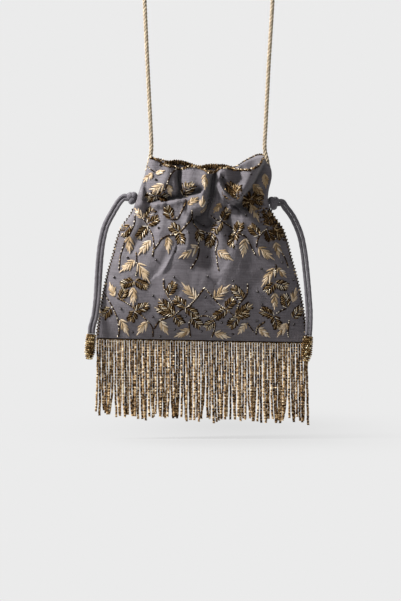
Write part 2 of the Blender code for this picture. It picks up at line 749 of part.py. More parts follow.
def add_fringe():
    """A beaded hem cord with its strands of beads hanging from it, as one piece."""
    below = HEM_BEAD_DIAMETER / 2 + GAP
    reach = BOTTOM_HALF_WIDTH + 0.5
    points, faces = cylinder(hem_point(-reach, below), hem_point(reach, below), HEM_BEAD_DIAMETER / 2, 8)
    hem = add_mesh("fringe", points, faces, "fringe_beads")
    pitch = (2 * BOTTOM_HALF_WIDTH - STRAND_DIAMETER) / (STRAND_COUNT - 1)
    points, faces = [], []
    for k in range(STRAND_COUNT):
        x = -BOTTOM_HALF_WIDTH + STRAND_DIAMETER / 2 + pitch * k
        top = hem_point(x, below)
        foot = top + Vector((0, 0, -strand_length(k)))
        strand_points, strand_faces = cylinder(top, foot, STRAND_DIAMETER / 2, 4)
        start = len(points)
        points += strand_points
        faces += [tuple(start + v for v in face) for face in strand_faces]
    strands = make_helper(add_mesh("strands", points, faces, "fringe_beads"))
    join = hem.modifiers.new("strands_on_the_hem", "BOOLEAN")
    join.operation = "UNION"
    join.object = strands
    return hem


def build():
    clear_scene()
    front = add_panel("front_panel", -1)
    add_embroidery(front)
    add_panel("back_panel", 1)
    add_lining()
    for end, name in ((-1, "left"), (1, "right")):
        level = -end * STRING_LEVEL
        add_tube(f"{name}_casing_run", casing_route(end, level), STRING_DIAMETER, "string_cloth")
        add_knot(f"{name}_knot", end)
        add_tube(f"{name}_outer_tail", tail_route(end, -1), STRING_DIAMETER, "string_cloth")
        add_tube(f"{name}_inner_tail", tail_route(end, 1), STRING_DIAMETER, "string_cloth")
        add_bead_end(f"{name}_bead_end", end)
        add_tube(f"{name}_seam_beading", side_beading_route(end), SEAM_BEAD_DIAMETER, "antique_beads")
    add_tube("sling_cord", sling_route(), SLING_DIAMETER, "gold_cord")
    add_tube("front_rim_beading", rim_beading_route(-1), RIM_BEAD_DIAMETER, "antique_beads")
    add_tube("back_rim_beading", rim_beading_route(1), RIM_BEAD_DIAMETER, "antique_beads")
    add_fringe()


build()
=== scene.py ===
"""The looks of a hanging drawstring potli bag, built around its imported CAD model.

Sizes are in millimetres and become metres when a mesh is made. X runs along the bag's
width, -Y is the embroidered front and +Z is up. Heights called h are measured up from
the bottom seam. A place in the embroidery is (x, h) as the camera sees it in the plane
of the side seams, and is carried from there onto the cloth. The size of a bead is its
length along its hole, its width and its height above the cloth.
"""
import math

import bpy
import numpy as np
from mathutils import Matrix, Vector
from mathutils.bvhtree import BVHTree


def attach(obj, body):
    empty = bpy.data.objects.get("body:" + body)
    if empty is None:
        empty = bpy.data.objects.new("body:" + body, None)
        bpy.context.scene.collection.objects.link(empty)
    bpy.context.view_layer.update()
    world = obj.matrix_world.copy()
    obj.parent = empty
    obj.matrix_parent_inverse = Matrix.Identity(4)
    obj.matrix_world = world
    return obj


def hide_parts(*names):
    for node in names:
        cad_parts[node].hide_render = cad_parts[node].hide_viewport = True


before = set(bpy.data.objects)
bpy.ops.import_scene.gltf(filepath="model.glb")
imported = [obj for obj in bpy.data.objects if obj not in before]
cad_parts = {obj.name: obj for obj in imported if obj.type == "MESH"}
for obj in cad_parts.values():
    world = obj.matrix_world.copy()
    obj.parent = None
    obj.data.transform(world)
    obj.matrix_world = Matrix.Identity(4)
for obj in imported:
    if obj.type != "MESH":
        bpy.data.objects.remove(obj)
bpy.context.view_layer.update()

MM = 0.001

# Camera
CAMERA = (-1.5, -2500.0, -381.5)
PICTURE_WIDTH = 401.0      # millimetres across the picture at the side seams
SENSOR = 36.0

# The hanging bag's outline, as in the CAD source
HANG_DROP = 421.0
BAG_HEIGHT = 182.0
NECK_HEIGHT = 140.0
BOTTOM_HALF_WIDTH = 105.5
NECK_HALF_WIDTH = 65.5
RIM_HALF_WIDTH = 59.5
RIM_LEAN = 6.5
BODY_HALF_DEPTH = 21.0
NECK_HALF_DEPTH = 19.0
BOTTOM_ROUNDING = 70.0
NECK_EASE = 50.0
LEAN_EASE = 6.0
SLIT_EASE = 12.0
HEM_SLOPE = 0.02
SIDE_OUTLINE = ((0.0, 1.0), (0.29, 0.855), (0.47, 0.715), (0.61, 0.575),
                (0.72, 0.475), (0.80, 0.37), (0.90, 0.13), (1.0, 0.0))
CLOTH = 1.2
GAP = 0.3
CASING_HALF_HEIGHT = 6.0
CASING_TAPER = 4.5
STRING_DIAMETER = 3.0
STRING_LEVEL = 2.2
STRING_SPREAD = 1.9
KNOT_RADII = (4.8, 5.2, 6.4)
SLING_DIAMETER = 3.4
SLING_TUCK = 13.0
SLING_INSET = 1.0

# The collar swells at its right end, and the front's corner there is turned in
SWELL = 3.2
SWELL_LEVEL = 164.0
SWELL_REACH = 13.0
CORNER_TURN = 4.0
CORNER_LEVEL = 170.0

# Fullness of a panel across its width: 1 is a parabola, and less is a fuller curve
BODY_FULLNESS = 0.75
NECK_FULLNESS = 0.5
LEAST_DEPTH = 2.5
SEAM_SOFTENING = 0.69      # what rounding off the least depth adds at a seam

# Gathers: place across the panel, width, depth, reach below the neck, drift with height
FRONT_FOLDS = (
    (0.11, 0.050, 3.5, 24.0, 0.0000),
    (0.235, 0.055, 5.5, 46.0, 0.0010),
    (0.355, 0.045, 5.0, 26.0, -0.0006),
    (0.545, 0.072, 9.0, 52.0, 0.0012),
    (0.715, 0.050, 5.0, 44.0, 0.0010),
    (0.865, 0.050, 5.0, 30.0, 0.0012),
)
BACK_FOLDS = (
    (0.12, 0.055, 3.5, 28.0, 0.0000),
    (0.28, 0.065, 6.5, 50.0, 0.0006),
    (0.45, 0.055, 5.5, 34.0, -0.0006),
    (0.62, 0.065, 7.5, 54.0, 0.0008),
    (0.80, 0.055, 5.0, 38.0, 0.0000),
)

# Rims as (x, height)
FRONT_RIM = ((-53, 182.0), (-46.4, 180.3), (-41.3, 177.8), (-34.7, 173.7), (-26, 172), (-20, 170),
             (-14, 171.6), (-9, 172.7), (-3, 171.6), (2, 169.5), (8, 166.5), (14, 168), (21, 171),
             (30.5, 169.4), (38.7, 169), (46.8, 169.2), (54, 172.7), (60, 177.5), (66, 182))
BACK_RIM = ((-53, 182.0), (-42, 180.5), (-33.6, 179), (-26, 179.6), (-21, 179.4), (-12.2, 177),
            (-2, 174), (8.8, 175.8), (17, 175.4), (24, 174.8), (33, 173.2), (41.4, 178.6),
            (49.5, 182.8), (56.5, 185.4), (62, 184.8), (66, 181))

# Creases on the front: points (x, height), half widths to the left and right of the way
# along them, and how far they stand out
FRONT_CREASES = (
    (((15, 180), (11.5, 160), (10, 146), (7, 134), (3, 124)), 2.4, 2.0, -15.0),
    (((8, 176), (6, 160), (4.5, 146), (2, 134), (-5, 126)), 1.8, 7.5, 8.5),
    (((-7, 121), (6, 116)), 6.5, 4.0, -13.0),
    (((-12, 124), (-16, 116)), 3.0, 3.0, 3.0),
    (((21, 174), (16, 161), (14.5, 153), (20, 144), (30, 136)), 12.0, 1.5, 9.0),
    (((17, 154), (22, 147), (31, 138)), 2.0, 1.5, 3.0),
    (((20, 160), (24, 150), (33, 141)), 4.0, 2.0, -6.0),
    (((61, 178), (49, 154), (36, 139)), 1.6, 12.0, 10.5),
    (((62, 163), (52, 144), (43, 136)), 8.0, 7.0, -14.0),
    (((61, 176), (66, 165)), 4.0, 3.0, -5.0),
    (((-21, 178), (-22.5, 160), (-20.5, 144)), 1.8, 2.8, -14.0),
    (((-13, 172), (-14, 150)), 5.0, 5.0, 3.5),
    (((-52, 138.5), (-30, 141), (-14, 144), (-2, 148)), 4.5, 1.7, -10.0),
    (((-44, 135), (-30, 137), (-16, 140)), 2.0, 3.5, 2.6),
    (((-46, 154), (-30, 156)), 8.0, 8.0, 4.0),
    (((-57, 157), (-55, 141)), 2.0, 2.6, -7.0),
    (((30, 135), (44, 131), (58, 134)), 5.0, 2.0, -8.0),
    (((-27, 90), (-32, 80), (-36, 71)), 0.9, 4.5, 2.6),
    (((-26, 91), (-45, 66)), 2.0, 6.0, -2.2),
    (((32, 96), (29, 80), (20, 64)), 8.0, 4.0, 1.9),
    (((5, 84), (9, 70), (15, 60)), 9.0, 8.0, -3.2),
    (((0, 118), (5, 98), (6, 78)), 9.0, 9.0, -5.4),
    (((-53, 134), (-58, 108), (-70, 90)), 4.0, 6.0, -4.6),
    (((-38, 134), (-42, 108)), 5.0, 4.0, 3.6),
    (((22, 132), (29, 110), (31, 102)), 3.0, 6.0, -5.2),
    (((46, 94), (48, 76)), 7.0, 9.0, -2.4),
    (((46, 130), (58, 102)), 4.0, 5.0, 3.4),
    (((-20, 134), (-13, 108), (-14, 92)), 4.0, 6.0, 3.8),
    (((70, 128), (84, 96)), 5.0, 7.0, -3.0),
    (((-60, 60), (-30, 46)), 9.0, 9.0, -1.8),
    (((20, 44), (60, 62)), 10.0, 8.0, -2.0),
)
BACK_CREASES = (
    (((-30, 178), (-28, 158), (-30, 140)), 3.0, 4.5, -3.5),
    (((2, 176), (5, 156), (4, 138), (8, 120)), 3.0, 5.0, -4.5),
    (((36, 176), (33, 158), (35, 142)), 4.0, 3.0, -3.5),
    (((-48, 140), (-14, 143)), 2.6, 5.0, -2.4),
    (((10, 142), (50, 139)), 2.6, 5.0, -2.4),
    (((-34, 132), (-42, 102), (-58, 80)), 4.0, 6.0, -3.6),
    (((-8, 134), (-4, 104)), 5.0, 6.0, 3.0),
    (((28, 132), (36, 98), (50, 76)), 6.0, 4.0, -3.8),
    (((-30, 66), (0, 50), (36, 58)), 8.0, 9.0, -2.4),
    (((60, 96), (46, 70)), 3.0, 7.0, 2.2),
)


def smoothstep(value, low, high):
    t = np.clip((value - low) / (high - low), 0.0, 1.0)
    return t * t * (3 - 2 * t)


def profile(points, at):
    """A smooth curve through (place, value) points, read at one or many places."""
    places = np.array([p for p, _ in points], dtype=float)
    values = np.array([v for _, v in points], dtype=float)
    slopes = np.gradient(values, places)
    k = np.clip(np.searchsorted(places, at) - 1, 0, len(points) - 2)
    step = places[k + 1] - places[k]
    t = np.clip((at - places[k]) / step, 0.0, 1.0)
    start = (1 + 2 * t) * (1 - t) ** 2 * values[k] + t * (1 - t) ** 2 * step * slopes[k]
    end = t * t * (3 - 2 * t) * values[k + 1] + t * t * (t - 1) * step * slopes[k + 1]
    return start + end


# The bag's shape. side is -1 for the front and +1 for the back, s runs from 0 at the
# left side seam to 1 at the right one.

def half_width(h):
    below = NECK_HALF_WIDTH + (BOTTOM_HALF_WIDTH - NECK_HALF_WIDTH) * profile(SIDE_OUTLINE, h / NECK_HEIGHT)
    share = (h - NECK_HEIGHT) / (BAG_HEIGHT - NECK_HEIGHT)
    above = NECK_HALF_WIDTH + (RIM_HALF_WIDTH - NECK_HALF_WIDTH) * share
    return np.where(h <= NECK_HEIGHT, below, above)


def edge_x(end, h):
    """X of the left (-1) or right (+1) side edge."""
    return RIM_LEAN * smoothstep(h, NECK_HEIGHT - LEAN_EASE, BAG_HEIGHT) + end * half_width(h)


def half_depth(h):
    opened = np.clip(h / BOTTOM_ROUNDING, 0.0, 1.0)
    body = BODY_HALF_DEPTH * (1 - (1 - opened) ** 2) ** 0.8
    return body + (NECK_HALF_DEPTH - BODY_HALF_DEPTH) * smoothstep(h, NECK_HEIGHT - NECK_EASE, NECK_HEIGHT)


def at_casing(h):
    return 1 - smoothstep(np.abs(h - NECK_HEIGHT), CASING_HALF_HEIGHT, CASING_HALF_HEIGHT + CASING_TAPER)


def seam_opening(h):
    """Half the gap between the panels at a side seam."""
    closed = GAP / 2
    casing = STRING_SPREAD + STRING_DIAMETER / 2 + 1.6 * GAP
    slit = SLING_DIAMETER / 2 + 1.3 * GAP
    above = closed + (slit - closed) * smoothstep(h, NECK_HEIGHT, NECK_HEIGHT + SLIT_EASE)
    return above + (casing - above) * at_casing(h)


def gathers(side, s, h):
    """Depth of the folds that the drawstrings pull into a panel."""
    total = np.zeros(np.broadcast(s, h).shape)
    for place, width, depth, reach, drift in FRONT_FOLDS if side < 0 else BACK_FOLDS:
        away = (s - place - drift * (h - NECK_HEIGHT)) / width
        below = np.exp(-(((NECK_HEIGHT - h) / reach) ** 2))
        above = 1 - 0.3 * (h - NECK_HEIGHT) / (BAG_HEIGHT - NECK_HEIGHT)
        total = total + depth * np.exp(-away * away) * np.where(h < NECK_HEIGHT, below, above)
    return total


def crease_height(x, h, creases):
    """How far the creases move the cloth at (x, h)."""
    total = np.zeros(np.broadcast(x, h).shape)
    for points, left_width, right_width, amount in creases:
        nearest = np.full(total.shape, 1e9)
        leftward = np.zeros(total.shape, dtype=bool)
        for (x0, h0), (x1, h1) in zip(points, points[1:]):
            dx, dh = x1 - x0, h1 - h0
            t = np.clip(((x - x0) * dx + (h - h0) * dh) / (dx * dx + dh * dh), 0.0, 1.0)
            off_x, off_h = x - x0 - dx * t, h - h0 - dh * t
            away = np.hypot(off_x, off_h)
            closer = away < nearest
            nearest = np.where(closer, away, nearest)
            leftward = np.where(closer, dx * off_h - dh * off_x > 0, leftward)
        width = np.where(leftward, left_width, right_width)
        total += amount * np.exp(-((nearest / width) ** 2))
    return total


def ripples(side, x, h):
    """Small folds: fine gathers along the casing and soft dents on the body."""
    near_casing = np.exp(-(((h - NECK_HEIGHT + 4) / 17.0) ** 2))
    turn = side * 1.7
    fine = np.sin(x * 0.62 + 1.3 * np.sin(h * 0.07 + turn)) + 0.6 * np.sin(x * 0.97 + h * 0.05 + 2.1 + turn)
    dents = np.sin(x * 0.085 + h * 0.05 + turn) * np.sin(h * 0.075 - x * 0.03 + 0.7)
    creased = np.sin(x * 0.19 - h * 0.11 + 1.9 * np.sin(h * 0.043 + turn))
    puckered = np.sin(x * 0.41 + h * 0.17 + 2.4 * np.sin(h * 0.09 - x * 0.06 + turn))
    puckered = puckered * np.sin(h * 0.21 - x * 0.13 + 1.7 * np.sin(x * 0.05 + turn))
    opened = smoothstep(h, 6.0, 40.0)
    return 0.45 * near_casing * fine + opened * (0.7 * dents + 0.28 * creased + 0.22 * puckered)


def outer_depth(side, s, x, h):
    """Distance of a panel's outer face from the seam plane."""
    across = np.clip(1 - (2 * s - 1) ** 2, 0.0, 1.0)
    eased = smoothstep(h, NECK_HEIGHT - NECK_EASE, NECK_HEIGHT)
    lens = across ** (BODY_FULLNESS + (NECK_FULLNESS - BODY_FULLNESS) * eased)
    creases = FRONT_CREASES if side < 0 else BACK_CREASES
    moved = crease_height(x, h, creases) + ripples(side, x, h) - gathers(side, s, h)
    free = np.minimum(1.0, lens * 1.6)
    opening = GAP / 2 + (seam_opening(h) - GAP / 2) * (1 - lens)
    depth = opening + half_depth(h) * lens + moved * free
    least = opening + np.minimum(lens * 5.0, LEAST_DEPTH)
    softened = least + np.log1p(np.exp(np.clip(depth - least, -30, 30)))
    return np.where(depth - least > 20, depth, softened) + CLOTH - SEAM_SOFTENING * (1 - free)


def hung(x, h):
    """World height of a place on the bag, whose hem slopes a little."""
    return h - HEM_SLOPE * x * (1 - h / BAG_HEIGHT) - HANG_DROP


def cloth_grid(side, columns, rows):
    """Points on a panel's outer face, row by row, and their places on the flat cloth."""
    s = np.linspace(0.0, 1.0, columns)[None, :]
    even = np.linspace(0.0, BAG_HEIGHT, rows)[:, None]
    casing_top = NECK_HEIGHT + CASING_HALF_HEIGHT + CASING_TAPER
    rim = profile(FRONT_RIM if side < 0 else BACK_RIM, edge_x(-1, BAG_HEIGHT) + 2 * RIM_HALF_WIDTH * s)
    share = (even - casing_top) / (BAG_HEIGHT - casing_top)
    h = np.where(even <= casing_top, even, casing_top + share * (rim - casing_top))
    left, right = edge_x(-1, h), edge_x(1, h)
    collar = np.exp(-(((h - SWELL_LEVEL) / SWELL_REACH) ** 2)) * smoothstep(s, 0.7, 1.0)
    corner = smoothstep(h, CORNER_LEVEL, BAG_HEIGHT) * smoothstep(s, 0.75, 1.0)
    x = left + (right - left) * s + SWELL * collar - corner * (CORNER_TURN if side < 0 else 0.0)
    points = np.stack([x, side * outer_depth(side, s, x, h), hung(x, h)], -1)
    flat = np.stack([2 * BOTTOM_HALF_WIDTH * s + 0 * h, h + 0 * s], -1)
    return points, flat


def grid_normals(points, side):
    across = np.gradient(points, axis=1)
    upward = np.gradient(points, axis=0)
    normal = np.cross(across, upward) * -side
    return normal / np.maximum(np.linalg.norm(normal, axis=-1, keepdims=True), 1e-9)


# Meshes

FOLD_REACH = 5             # grid steps to each side, over which a fold is told from open cloth


def box_mean(values, axis):
    """The mean over FOLD_REACH places to each side along one axis, with the edges held."""
    padding = [(0, 0), (0, 0)]
    padding[axis] = (FOLD_REACH, FOLD_REACH)
    edged = np.pad(values, padding, mode="edge")
    size = values.shape[axis]
    shifted = [np.take(edged, range(k, k + size), axis=axis) for k in range(2 * FOLD_REACH + 1)]
    return np.mean(shifted, axis=0)


def painted_fold_shade_tones(points):
    """Painted shade for the folds: 0 in the hollows of the folds and 1 on open cloth, from the depth around
    each point.
    """
    depth = np.abs(points[..., 1])
    around = depth
    for _ in range(3):
        around = box_mean(box_mean(around, 1), 0)
    return smoothstep(depth - around, -5.0, 1.0)


def add_mesh(name, points, faces, material, slot, stands_for=None, tones=None, flat=None):
    """A smooth mesh from points in millimetres. stands_for is the CAD node it replaces,
    tones a shade per point and flat a place on the flat cloth per point."""
    points = np.asarray(points, dtype=float).reshape(-1, 3) * MM
    faces = np.asarray(faces, dtype=np.int32)
    mesh = bpy.data.meshes.new(name)
    mesh.vertices.add(len(points))
    mesh.vertices.foreach_set("co", points.ravel())
    mesh.loops.add(faces.size)
    mesh.loops.foreach_set("vertex_index", faces.ravel())
    mesh.polygons.add(len(faces))
    mesh.polygons.foreach_set("loop_start", np.arange(0, faces.size, faces.shape[1], dtype=np.int32))
    mesh.update(calc_edges=True)
    mesh.shade_smooth()
    if tones is not None:
        shades = mesh.attributes.new("tone", "FLOAT", "POINT")
        shades.data.foreach_set("value", np.asarray(tones, dtype=float).ravel())
    if flat is not None:
        layer = mesh.uv_layers.new(name="flat")
        layer.data.foreach_set("uv", (flat[faces.ravel()] * MM).ravel())
    mesh.materials.append(material)
    obj = bpy.data.objects.new(name, mesh)
    bpy.context.scene.collection.objects.link(obj)
    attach(obj, "root")
    if stands_for:
        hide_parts(stands_for)
    return obj


def grid_quads(rows, columns, start=0, closed=False, looped=False):
    """Quads of a grid stored row by row. closed joins the last column to the first, and
    looped the last row to the first."""
    index = np.arange(rows * columns).reshape(rows, columns) + start
    if closed:
        index = np.concatenate([index, index[:, :1]], axis=1)
    if looped:
        index = np.concatenate([index, index[:1]])
    corners = (index[:-1, :-1], index[:-1, 1:], index[1:, 1:], index[1:, :-1])
    return np.stack(corners, -1).reshape(-1, 4)


def closed_sheet(outer, inner, side):
    """Points and quads of a closed sheet between two grids of the same size."""
    rows, columns = outer.shape[:2]
    count = rows * columns
    index = np.arange(count).reshape(rows, columns)
    rim = np.concatenate([index[0, :], index[1:, -1], index[-1, -2::-1], index[-2:0:-1, 0]])
    ahead = np.roll(rim, -1)
    walls = np.stack([rim, rim + count, ahead + count, ahead], -1)
    faces = np.concatenate([grid_quads(rows, columns), grid_quads(rows, columns, count)[:, ::-1], walls])
    points = np.concatenate([outer.reshape(-1, 3), inner.reshape(-1, 3)])
    return points, faces if side < 0 else faces[:, ::-1]


def smooth_route(points, step):
    """A Catmull-Rom curve through points, read about every step millimetres."""
    points = np.array(points, dtype=float)
    control = np.concatenate([[2 * points[0] - points[1]], points, [2 * points[-1] - points[-2]]])
    route = [control[1]]
    for a, b, c, d in zip(control, control[1:], control[2:], control[3:]):
        count = max(1, round(float(np.linalg.norm(c - b)) / step))
        for k in range(1, count + 1):
            t = k / count
            route.append(0.5 * (2 * b + (c - a) * t + (2 * a - 5 * b + 4 * c - d) * t * t
                                + (3 * b - a - 3 * c + d) * t ** 3))
    return np.array(route)


def distances(route):
    """How far along a route each of its points lies."""
    return np.concatenate([[0], np.cumsum(np.linalg.norm(np.diff(route, axis=0), axis=1))])


def read_route(route, stops):
    """The points that lie given distances along a route."""
    travelled = distances(route)
    return np.stack([np.interp(stops, travelled, values) for values in route.T], -1)


def route_frames(route):
    """Two directions across a route at each of its points, without twist."""
    along = np.gradient(route, axis=0)
    along /= np.linalg.norm(along, axis=1, keepdims=True)
    side = np.array(Vector(along[0]).orthogonal().normalized())
    sides = []
    for direction in along:
        side = side - direction * (side @ direction)
        side = side / np.linalg.norm(side)
        sides.append(side)
    sides = np.array(sides)
    return sides, np.cross(along, sides)


def tube(route, sides, radius):
    """A closed tube as points and triangles. radius(along, turn) gives the distance from
    the route for the way travelled and an angle round it."""
    side, up = route_frames(route)
    turn = np.arange(sides)[None, :] * 2 * math.pi / sides
    out = np.broadcast_to(radius(distances(route)[:, None], turn), (len(route), sides))[..., None]
    ring = side[:, None, :] * np.cos(turn)[..., None] + up[:, None, :] * np.sin(turn)[..., None]
    points = route[:, None, :] + ring * out
    body = points.reshape(-1, 3)
    quads = grid_quads(len(route), sides, closed=True)
    last = (len(route) - 1) * sides
    around = np.arange(sides)
    ahead = (around + 1) % sides
    first_cap = np.stack([ahead, around, np.full(sides, len(body))], -1)
    last_cap = np.stack([last + around, last + ahead, np.full(sides, len(body) + 1)], -1)
    faces = np.concatenate([quads[:, [0, 1, 2]], quads[:, [0, 2, 3]], first_cap, last_cap])
    return np.concatenate([body, [points[0].mean(0), points[-1].mean(0)]]), faces


def joined(parts):
    """Several (points, faces) as one."""
    points, faces, start = [], [], 0
    for part_points, part_faces in parts:
        points.append(part_points)
        faces.append(part_faces + start)
        start += len(part_points)
    return np.concatenate(points), np.concatenate(faces)


def ring_bead(around, profile_points, hole, half_length):
    """A bead with a hole along X, 1 across, as points and quads."""
    turn = np.arange(around)[:, None] * 2 * math.pi / around
    bend = np.arange(profile_points)[None, :] * 2 * math.pi / profile_points + 0.4
    wall = (0.5 - hole) / 2
    out = hole + wall + wall * np.cos(bend)
    points = np.stack([half_length * np.sin(bend) + 0 * turn, out * np.cos(turn), out * np.sin(turn)], -1)
    return points.reshape(-1, 3), grid_quads(around, profile_points, closed=True, looped=True)


def spindle(around, stations):
    """A stitch 1 long along X and 1 across, pointed at both ends, as points and quads."""
    place = np.linspace(0.0, 1.0, stations)[:, None]
    out = 0.5 * np.maximum(np.sin(math.pi * place ** 0.8) ** 0.62, 0.08)
    turn = np.arange(around)[None, :] * 2 * math.pi / around
    points = np.stack([place - 0.5 + 0 * turn, out * np.cos(turn), out * np.sin(turn)], -1)
    return points.reshape(-1, 3), grid_quads(stations, around, closed=True)


SEED_BEAD = ring_bead(8, 5, 0.14, 0.36)
BUGLE_BEAD = ring_bead(7, 5, 0.20, 0.50)
STITCH = spindle(7, 7)


class Scatter:
    """Many copies of one small shape, gathered into one mesh."""

    def __init__(self, template):
        self.points, self.faces = template
        self.places = []
        self.axes = []
        self.tones = []

    def put(self, place, along, normal, size, tone):
        """Adds a copy with its X along the given way and its Z along the normal."""
        along = np.asarray(along, dtype=float)
        along = along / np.linalg.norm(along)
        across = np.cross(np.asarray(normal, dtype=float), along)
        across /= np.linalg.norm(across)
        length, width, height = size
        self.places.append(np.asarray(place, dtype=float))
        self.axes.append((along * length, across * width, np.cross(along, across) * height))
        self.tones.append(tone)

    def finish(self, name, material, slot, stands_for=None):
        places, axes = np.array(self.places), np.array(self.axes)
        points = places[:, None, :] + np.einsum("vk,nkj->nvj", self.points, axes)
        count = len(self.points)
        faces = self.faces[None] + (np.arange(len(places)) * count)[:, None, None]
        faces = faces.reshape(-1, self.faces.shape[1])
        return add_mesh(name, points, faces, material, slot, stands_for, np.repeat(self.tones, count))


# Materials

class Nodes:
    """Adds nodes to one node tree."""

    def __init__(self, tree):
        self.tree = tree

    def feed(self, socket, value):
        """Links an output to a socket, or sets the socket's own value."""
        if isinstance(value, bpy.types.NodeSocket):
            self.tree.links.new(value, socket)
        else:
            socket.default_value = value

    def node(self, kind, inputs=None, output=0, **properties):
        made = self.tree.nodes.new("ShaderNode" + kind)
        for name, value in properties.items():
            setattr(made, name, value)
        for name, value in (inputs or {}).items():
            self.feed(made.inputs[name], value)
        return made.outputs[output]

    def object_place(self):
        return self.node("TexCoord", output=3)

    def tone(self):
        """The shade stored at each point of a mesh."""
        return self.node("Attribute", output=2, attribute_name="tone")

    def noise(self, place, scale, detail=2.0):
        return self.node("TexNoise", {"Vector": place, "Scale": scale, "Detail": detail, "Roughness": 0.5})

    def scaled(self, place, scale):
        return self.node("Mapping", {"Vector": place, "Scale": scale})

    def maths(self, operation, a, b, **properties):
        return self.node("Math", {0: a, 1: b}, operation=operation, **properties)

    def total(self, *parts):
        """The sum of (value, share) pairs."""
        shares = [self.maths("MULTIPLY", value, share) for value, share in parts]
        result = shares[0]
        for share in shares[1:]:
            result = self.maths("ADD", result, share)
        return result

    def bell(self, distance, steepness):
        """1 where the distance is 0, falling off to nothing."""
        square = self.maths("MULTIPLY", distance, distance)
        return self.maths("POWER", 2.718, self.maths("MULTIPLY", square, -steepness))

    def ramp(self, factor, stops):
        made = self.tree.nodes.new("ShaderNodeValToRGB")
        self.feed(made.inputs["Fac"], factor)
        elements = made.color_ramp.elements
        while len(elements) < len(stops):
            elements.new(0.5)
        for element, (at, colour) in zip(elements, stops):
            element.position = at
            element.color = (*colour, 1.0)
        return made.outputs["Color"]


class Surface(Nodes):
    """A Principled material. Values given by name are set on the shader's own sockets."""

    def __init__(self, name, **constants):
        self.material = bpy.data.materials.new(name)
        self.material.use_nodes = True
        super().__init__(self.material.node_tree)
        self.shader = self.tree.nodes["Principled BSDF"]
        for socket, value in constants.items():
            self.set(socket.replace("_", " "), value)

    def set(self, socket, value):
        self.feed(self.shader.inputs[socket], value)

    def bump(self, height, strength, distance):
        self.set("Normal", self.node("Bump", {"Height": height, "Strength": strength, "Distance": distance}))


def silk_material(name, shade, lit, thread_pitch=0.5, from_object=False, painted_fold_shade=1.0):
    """Woven silk: crossed threads, slubs along the weft and clouded colour. A fold shade below 1 paints the
    hollows of the folds darker: painted shade.
    """
    surface = Surface(name, Roughness=0.62, Sheen_Weight=0.25, Sheen_Roughness=0.45)
    place = surface.object_place() if from_object else surface.node("UVMap", uv_map="flat")
    slubs = surface.noise(surface.scaled(place, (55.0, 780.0, 500.0)), 1.0, 3.0)
    ends = surface.noise(surface.scaled(place, (900.0, 70.0, 500.0)), 1.0)
    clouds = surface.noise(surface.scaled(place, (30.0, 30.0, 30.0)), 1.0, 3.0)
    grain = surface.total((slubs, 0.55), (ends, 0.2), (clouds, 0.35))
    colour = surface.ramp(grain, ((0.36, shade), (0.74, lit)))
    # Painted shade: the hollows of the folds are darkened, down to the fold shade in the deepest.
    if painted_fold_shade < 1.0:
        painted_fold_shade_colour = surface.ramp(surface.tone(), ((0.0, (painted_fold_shade,) * 3), (0.9, (1.0, 1.0, 1.0))))
        colour = surface.node("Mix", {0: 1.0, 6: colour, 7: painted_fold_shade_colour}, output=2, data_type="RGBA",
                              blend_type="MULTIPLY")
    surface.set("Base Color", colour)
    turns = 2 * math.pi / (thread_pitch * MM)
    flat = surface.node("SeparateXYZ", {0: place}).node.outputs
    weft, warp = (surface.maths("SINE", surface.maths("MULTIPLY", flat[axis], turns), 0.0) for axis in "YX")
    woven = surface.total((surface.maths("MULTIPLY", weft, warp), 1.0), (slubs, 2.0))
    surface.bump(woven, 0.35, 0.0002)
    return surface.material


def toned_material(name, stops, roughness, metallic, grain_scale, grain):
    """Beads or threads that take their colour and shine from the tone of each copy."""
    surface = Surface(name, Roughness=roughness, Metallic=metallic, Specular_Tint=(0.75, 0.62, 0.45, 1.0))
    fine = surface.noise(surface.object_place(), grain_scale)
    shifted = surface.total((surface.tone(), 1.0), (surface.maths("SUBTRACT", fine, 0.5), grain))
    surface.set("Base Color", surface.ramp(shifted, stops))
    shine = surface.maths("MULTIPLY", shifted, 0.45)
    surface.set("Specular IOR Level", surface.maths("MAXIMUM", shine, 0.0))
    surface.bump(fine, 0.3, 0.00015)
    return surface.material


def cord_material(name, dark, light):
    """Twisted silk cord: fine threads with a warm and a pale ply."""
    surface = Surface(name, Roughness=0.5, Sheen_Weight=0.3, Sheen_Roughness=0.4)
    fine = surface.noise(surface.scaled(surface.object_place(), (2600.0, 2600.0, 900.0)), 1.0)
    mixed = surface.total((surface.tone(), 1.0), (fine, 0.45))
    surface.set("Base Color", surface.ramp(mixed, ((0.2, dark), (0.95, light))))
    surface.bump(fine, 0.5, 0.0002)
    return surface.material


# The outer cloth is painted darker in the hollows of its folds: painted shade.
CLOTH_MATERIAL = silk_material("grey_silk", (0.083, 0.073, 0.081), (0.190, 0.169, 0.187), painted_fold_shade=0.42)
LINING_MATERIAL = silk_material("grey_lining", (0.140, 0.127, 0.140), (0.205, 0.188, 0.202),
                                thread_pitch=0.4)
STRING_MATERIAL = silk_material("grey_string_cloth", (0.078, 0.070, 0.080), (0.150, 0.136, 0.152),
                                from_object=True)
THREAD_MATERIAL = toned_material(
    "gold_thread",
    ((0.0, (0.032, 0.018, 0.009)), (0.25, (0.20, 0.125, 0.058)), (0.5, (0.47, 0.33, 0.185)),
     (0.75, (0.68, 0.53, 0.365)), (1.0, (0.84, 0.73, 0.59))),
    roughness=0.45, metallic=0.0, grain_scale=1500.0, grain=0.35)
BEAD_MATERIAL = toned_material(
    "antique_glass_beads",
    ((0.0, (0.030, 0.016, 0.006)), (0.35, (0.070, 0.039, 0.016)), (0.6, (0.28, 0.175, 0.078)),
     (0.85, (0.68, 0.53, 0.32)), (1.0, (0.90, 0.80, 0.64))),
    roughness=0.32, metallic=0.35, grain_scale=1200.0, grain=0.25)
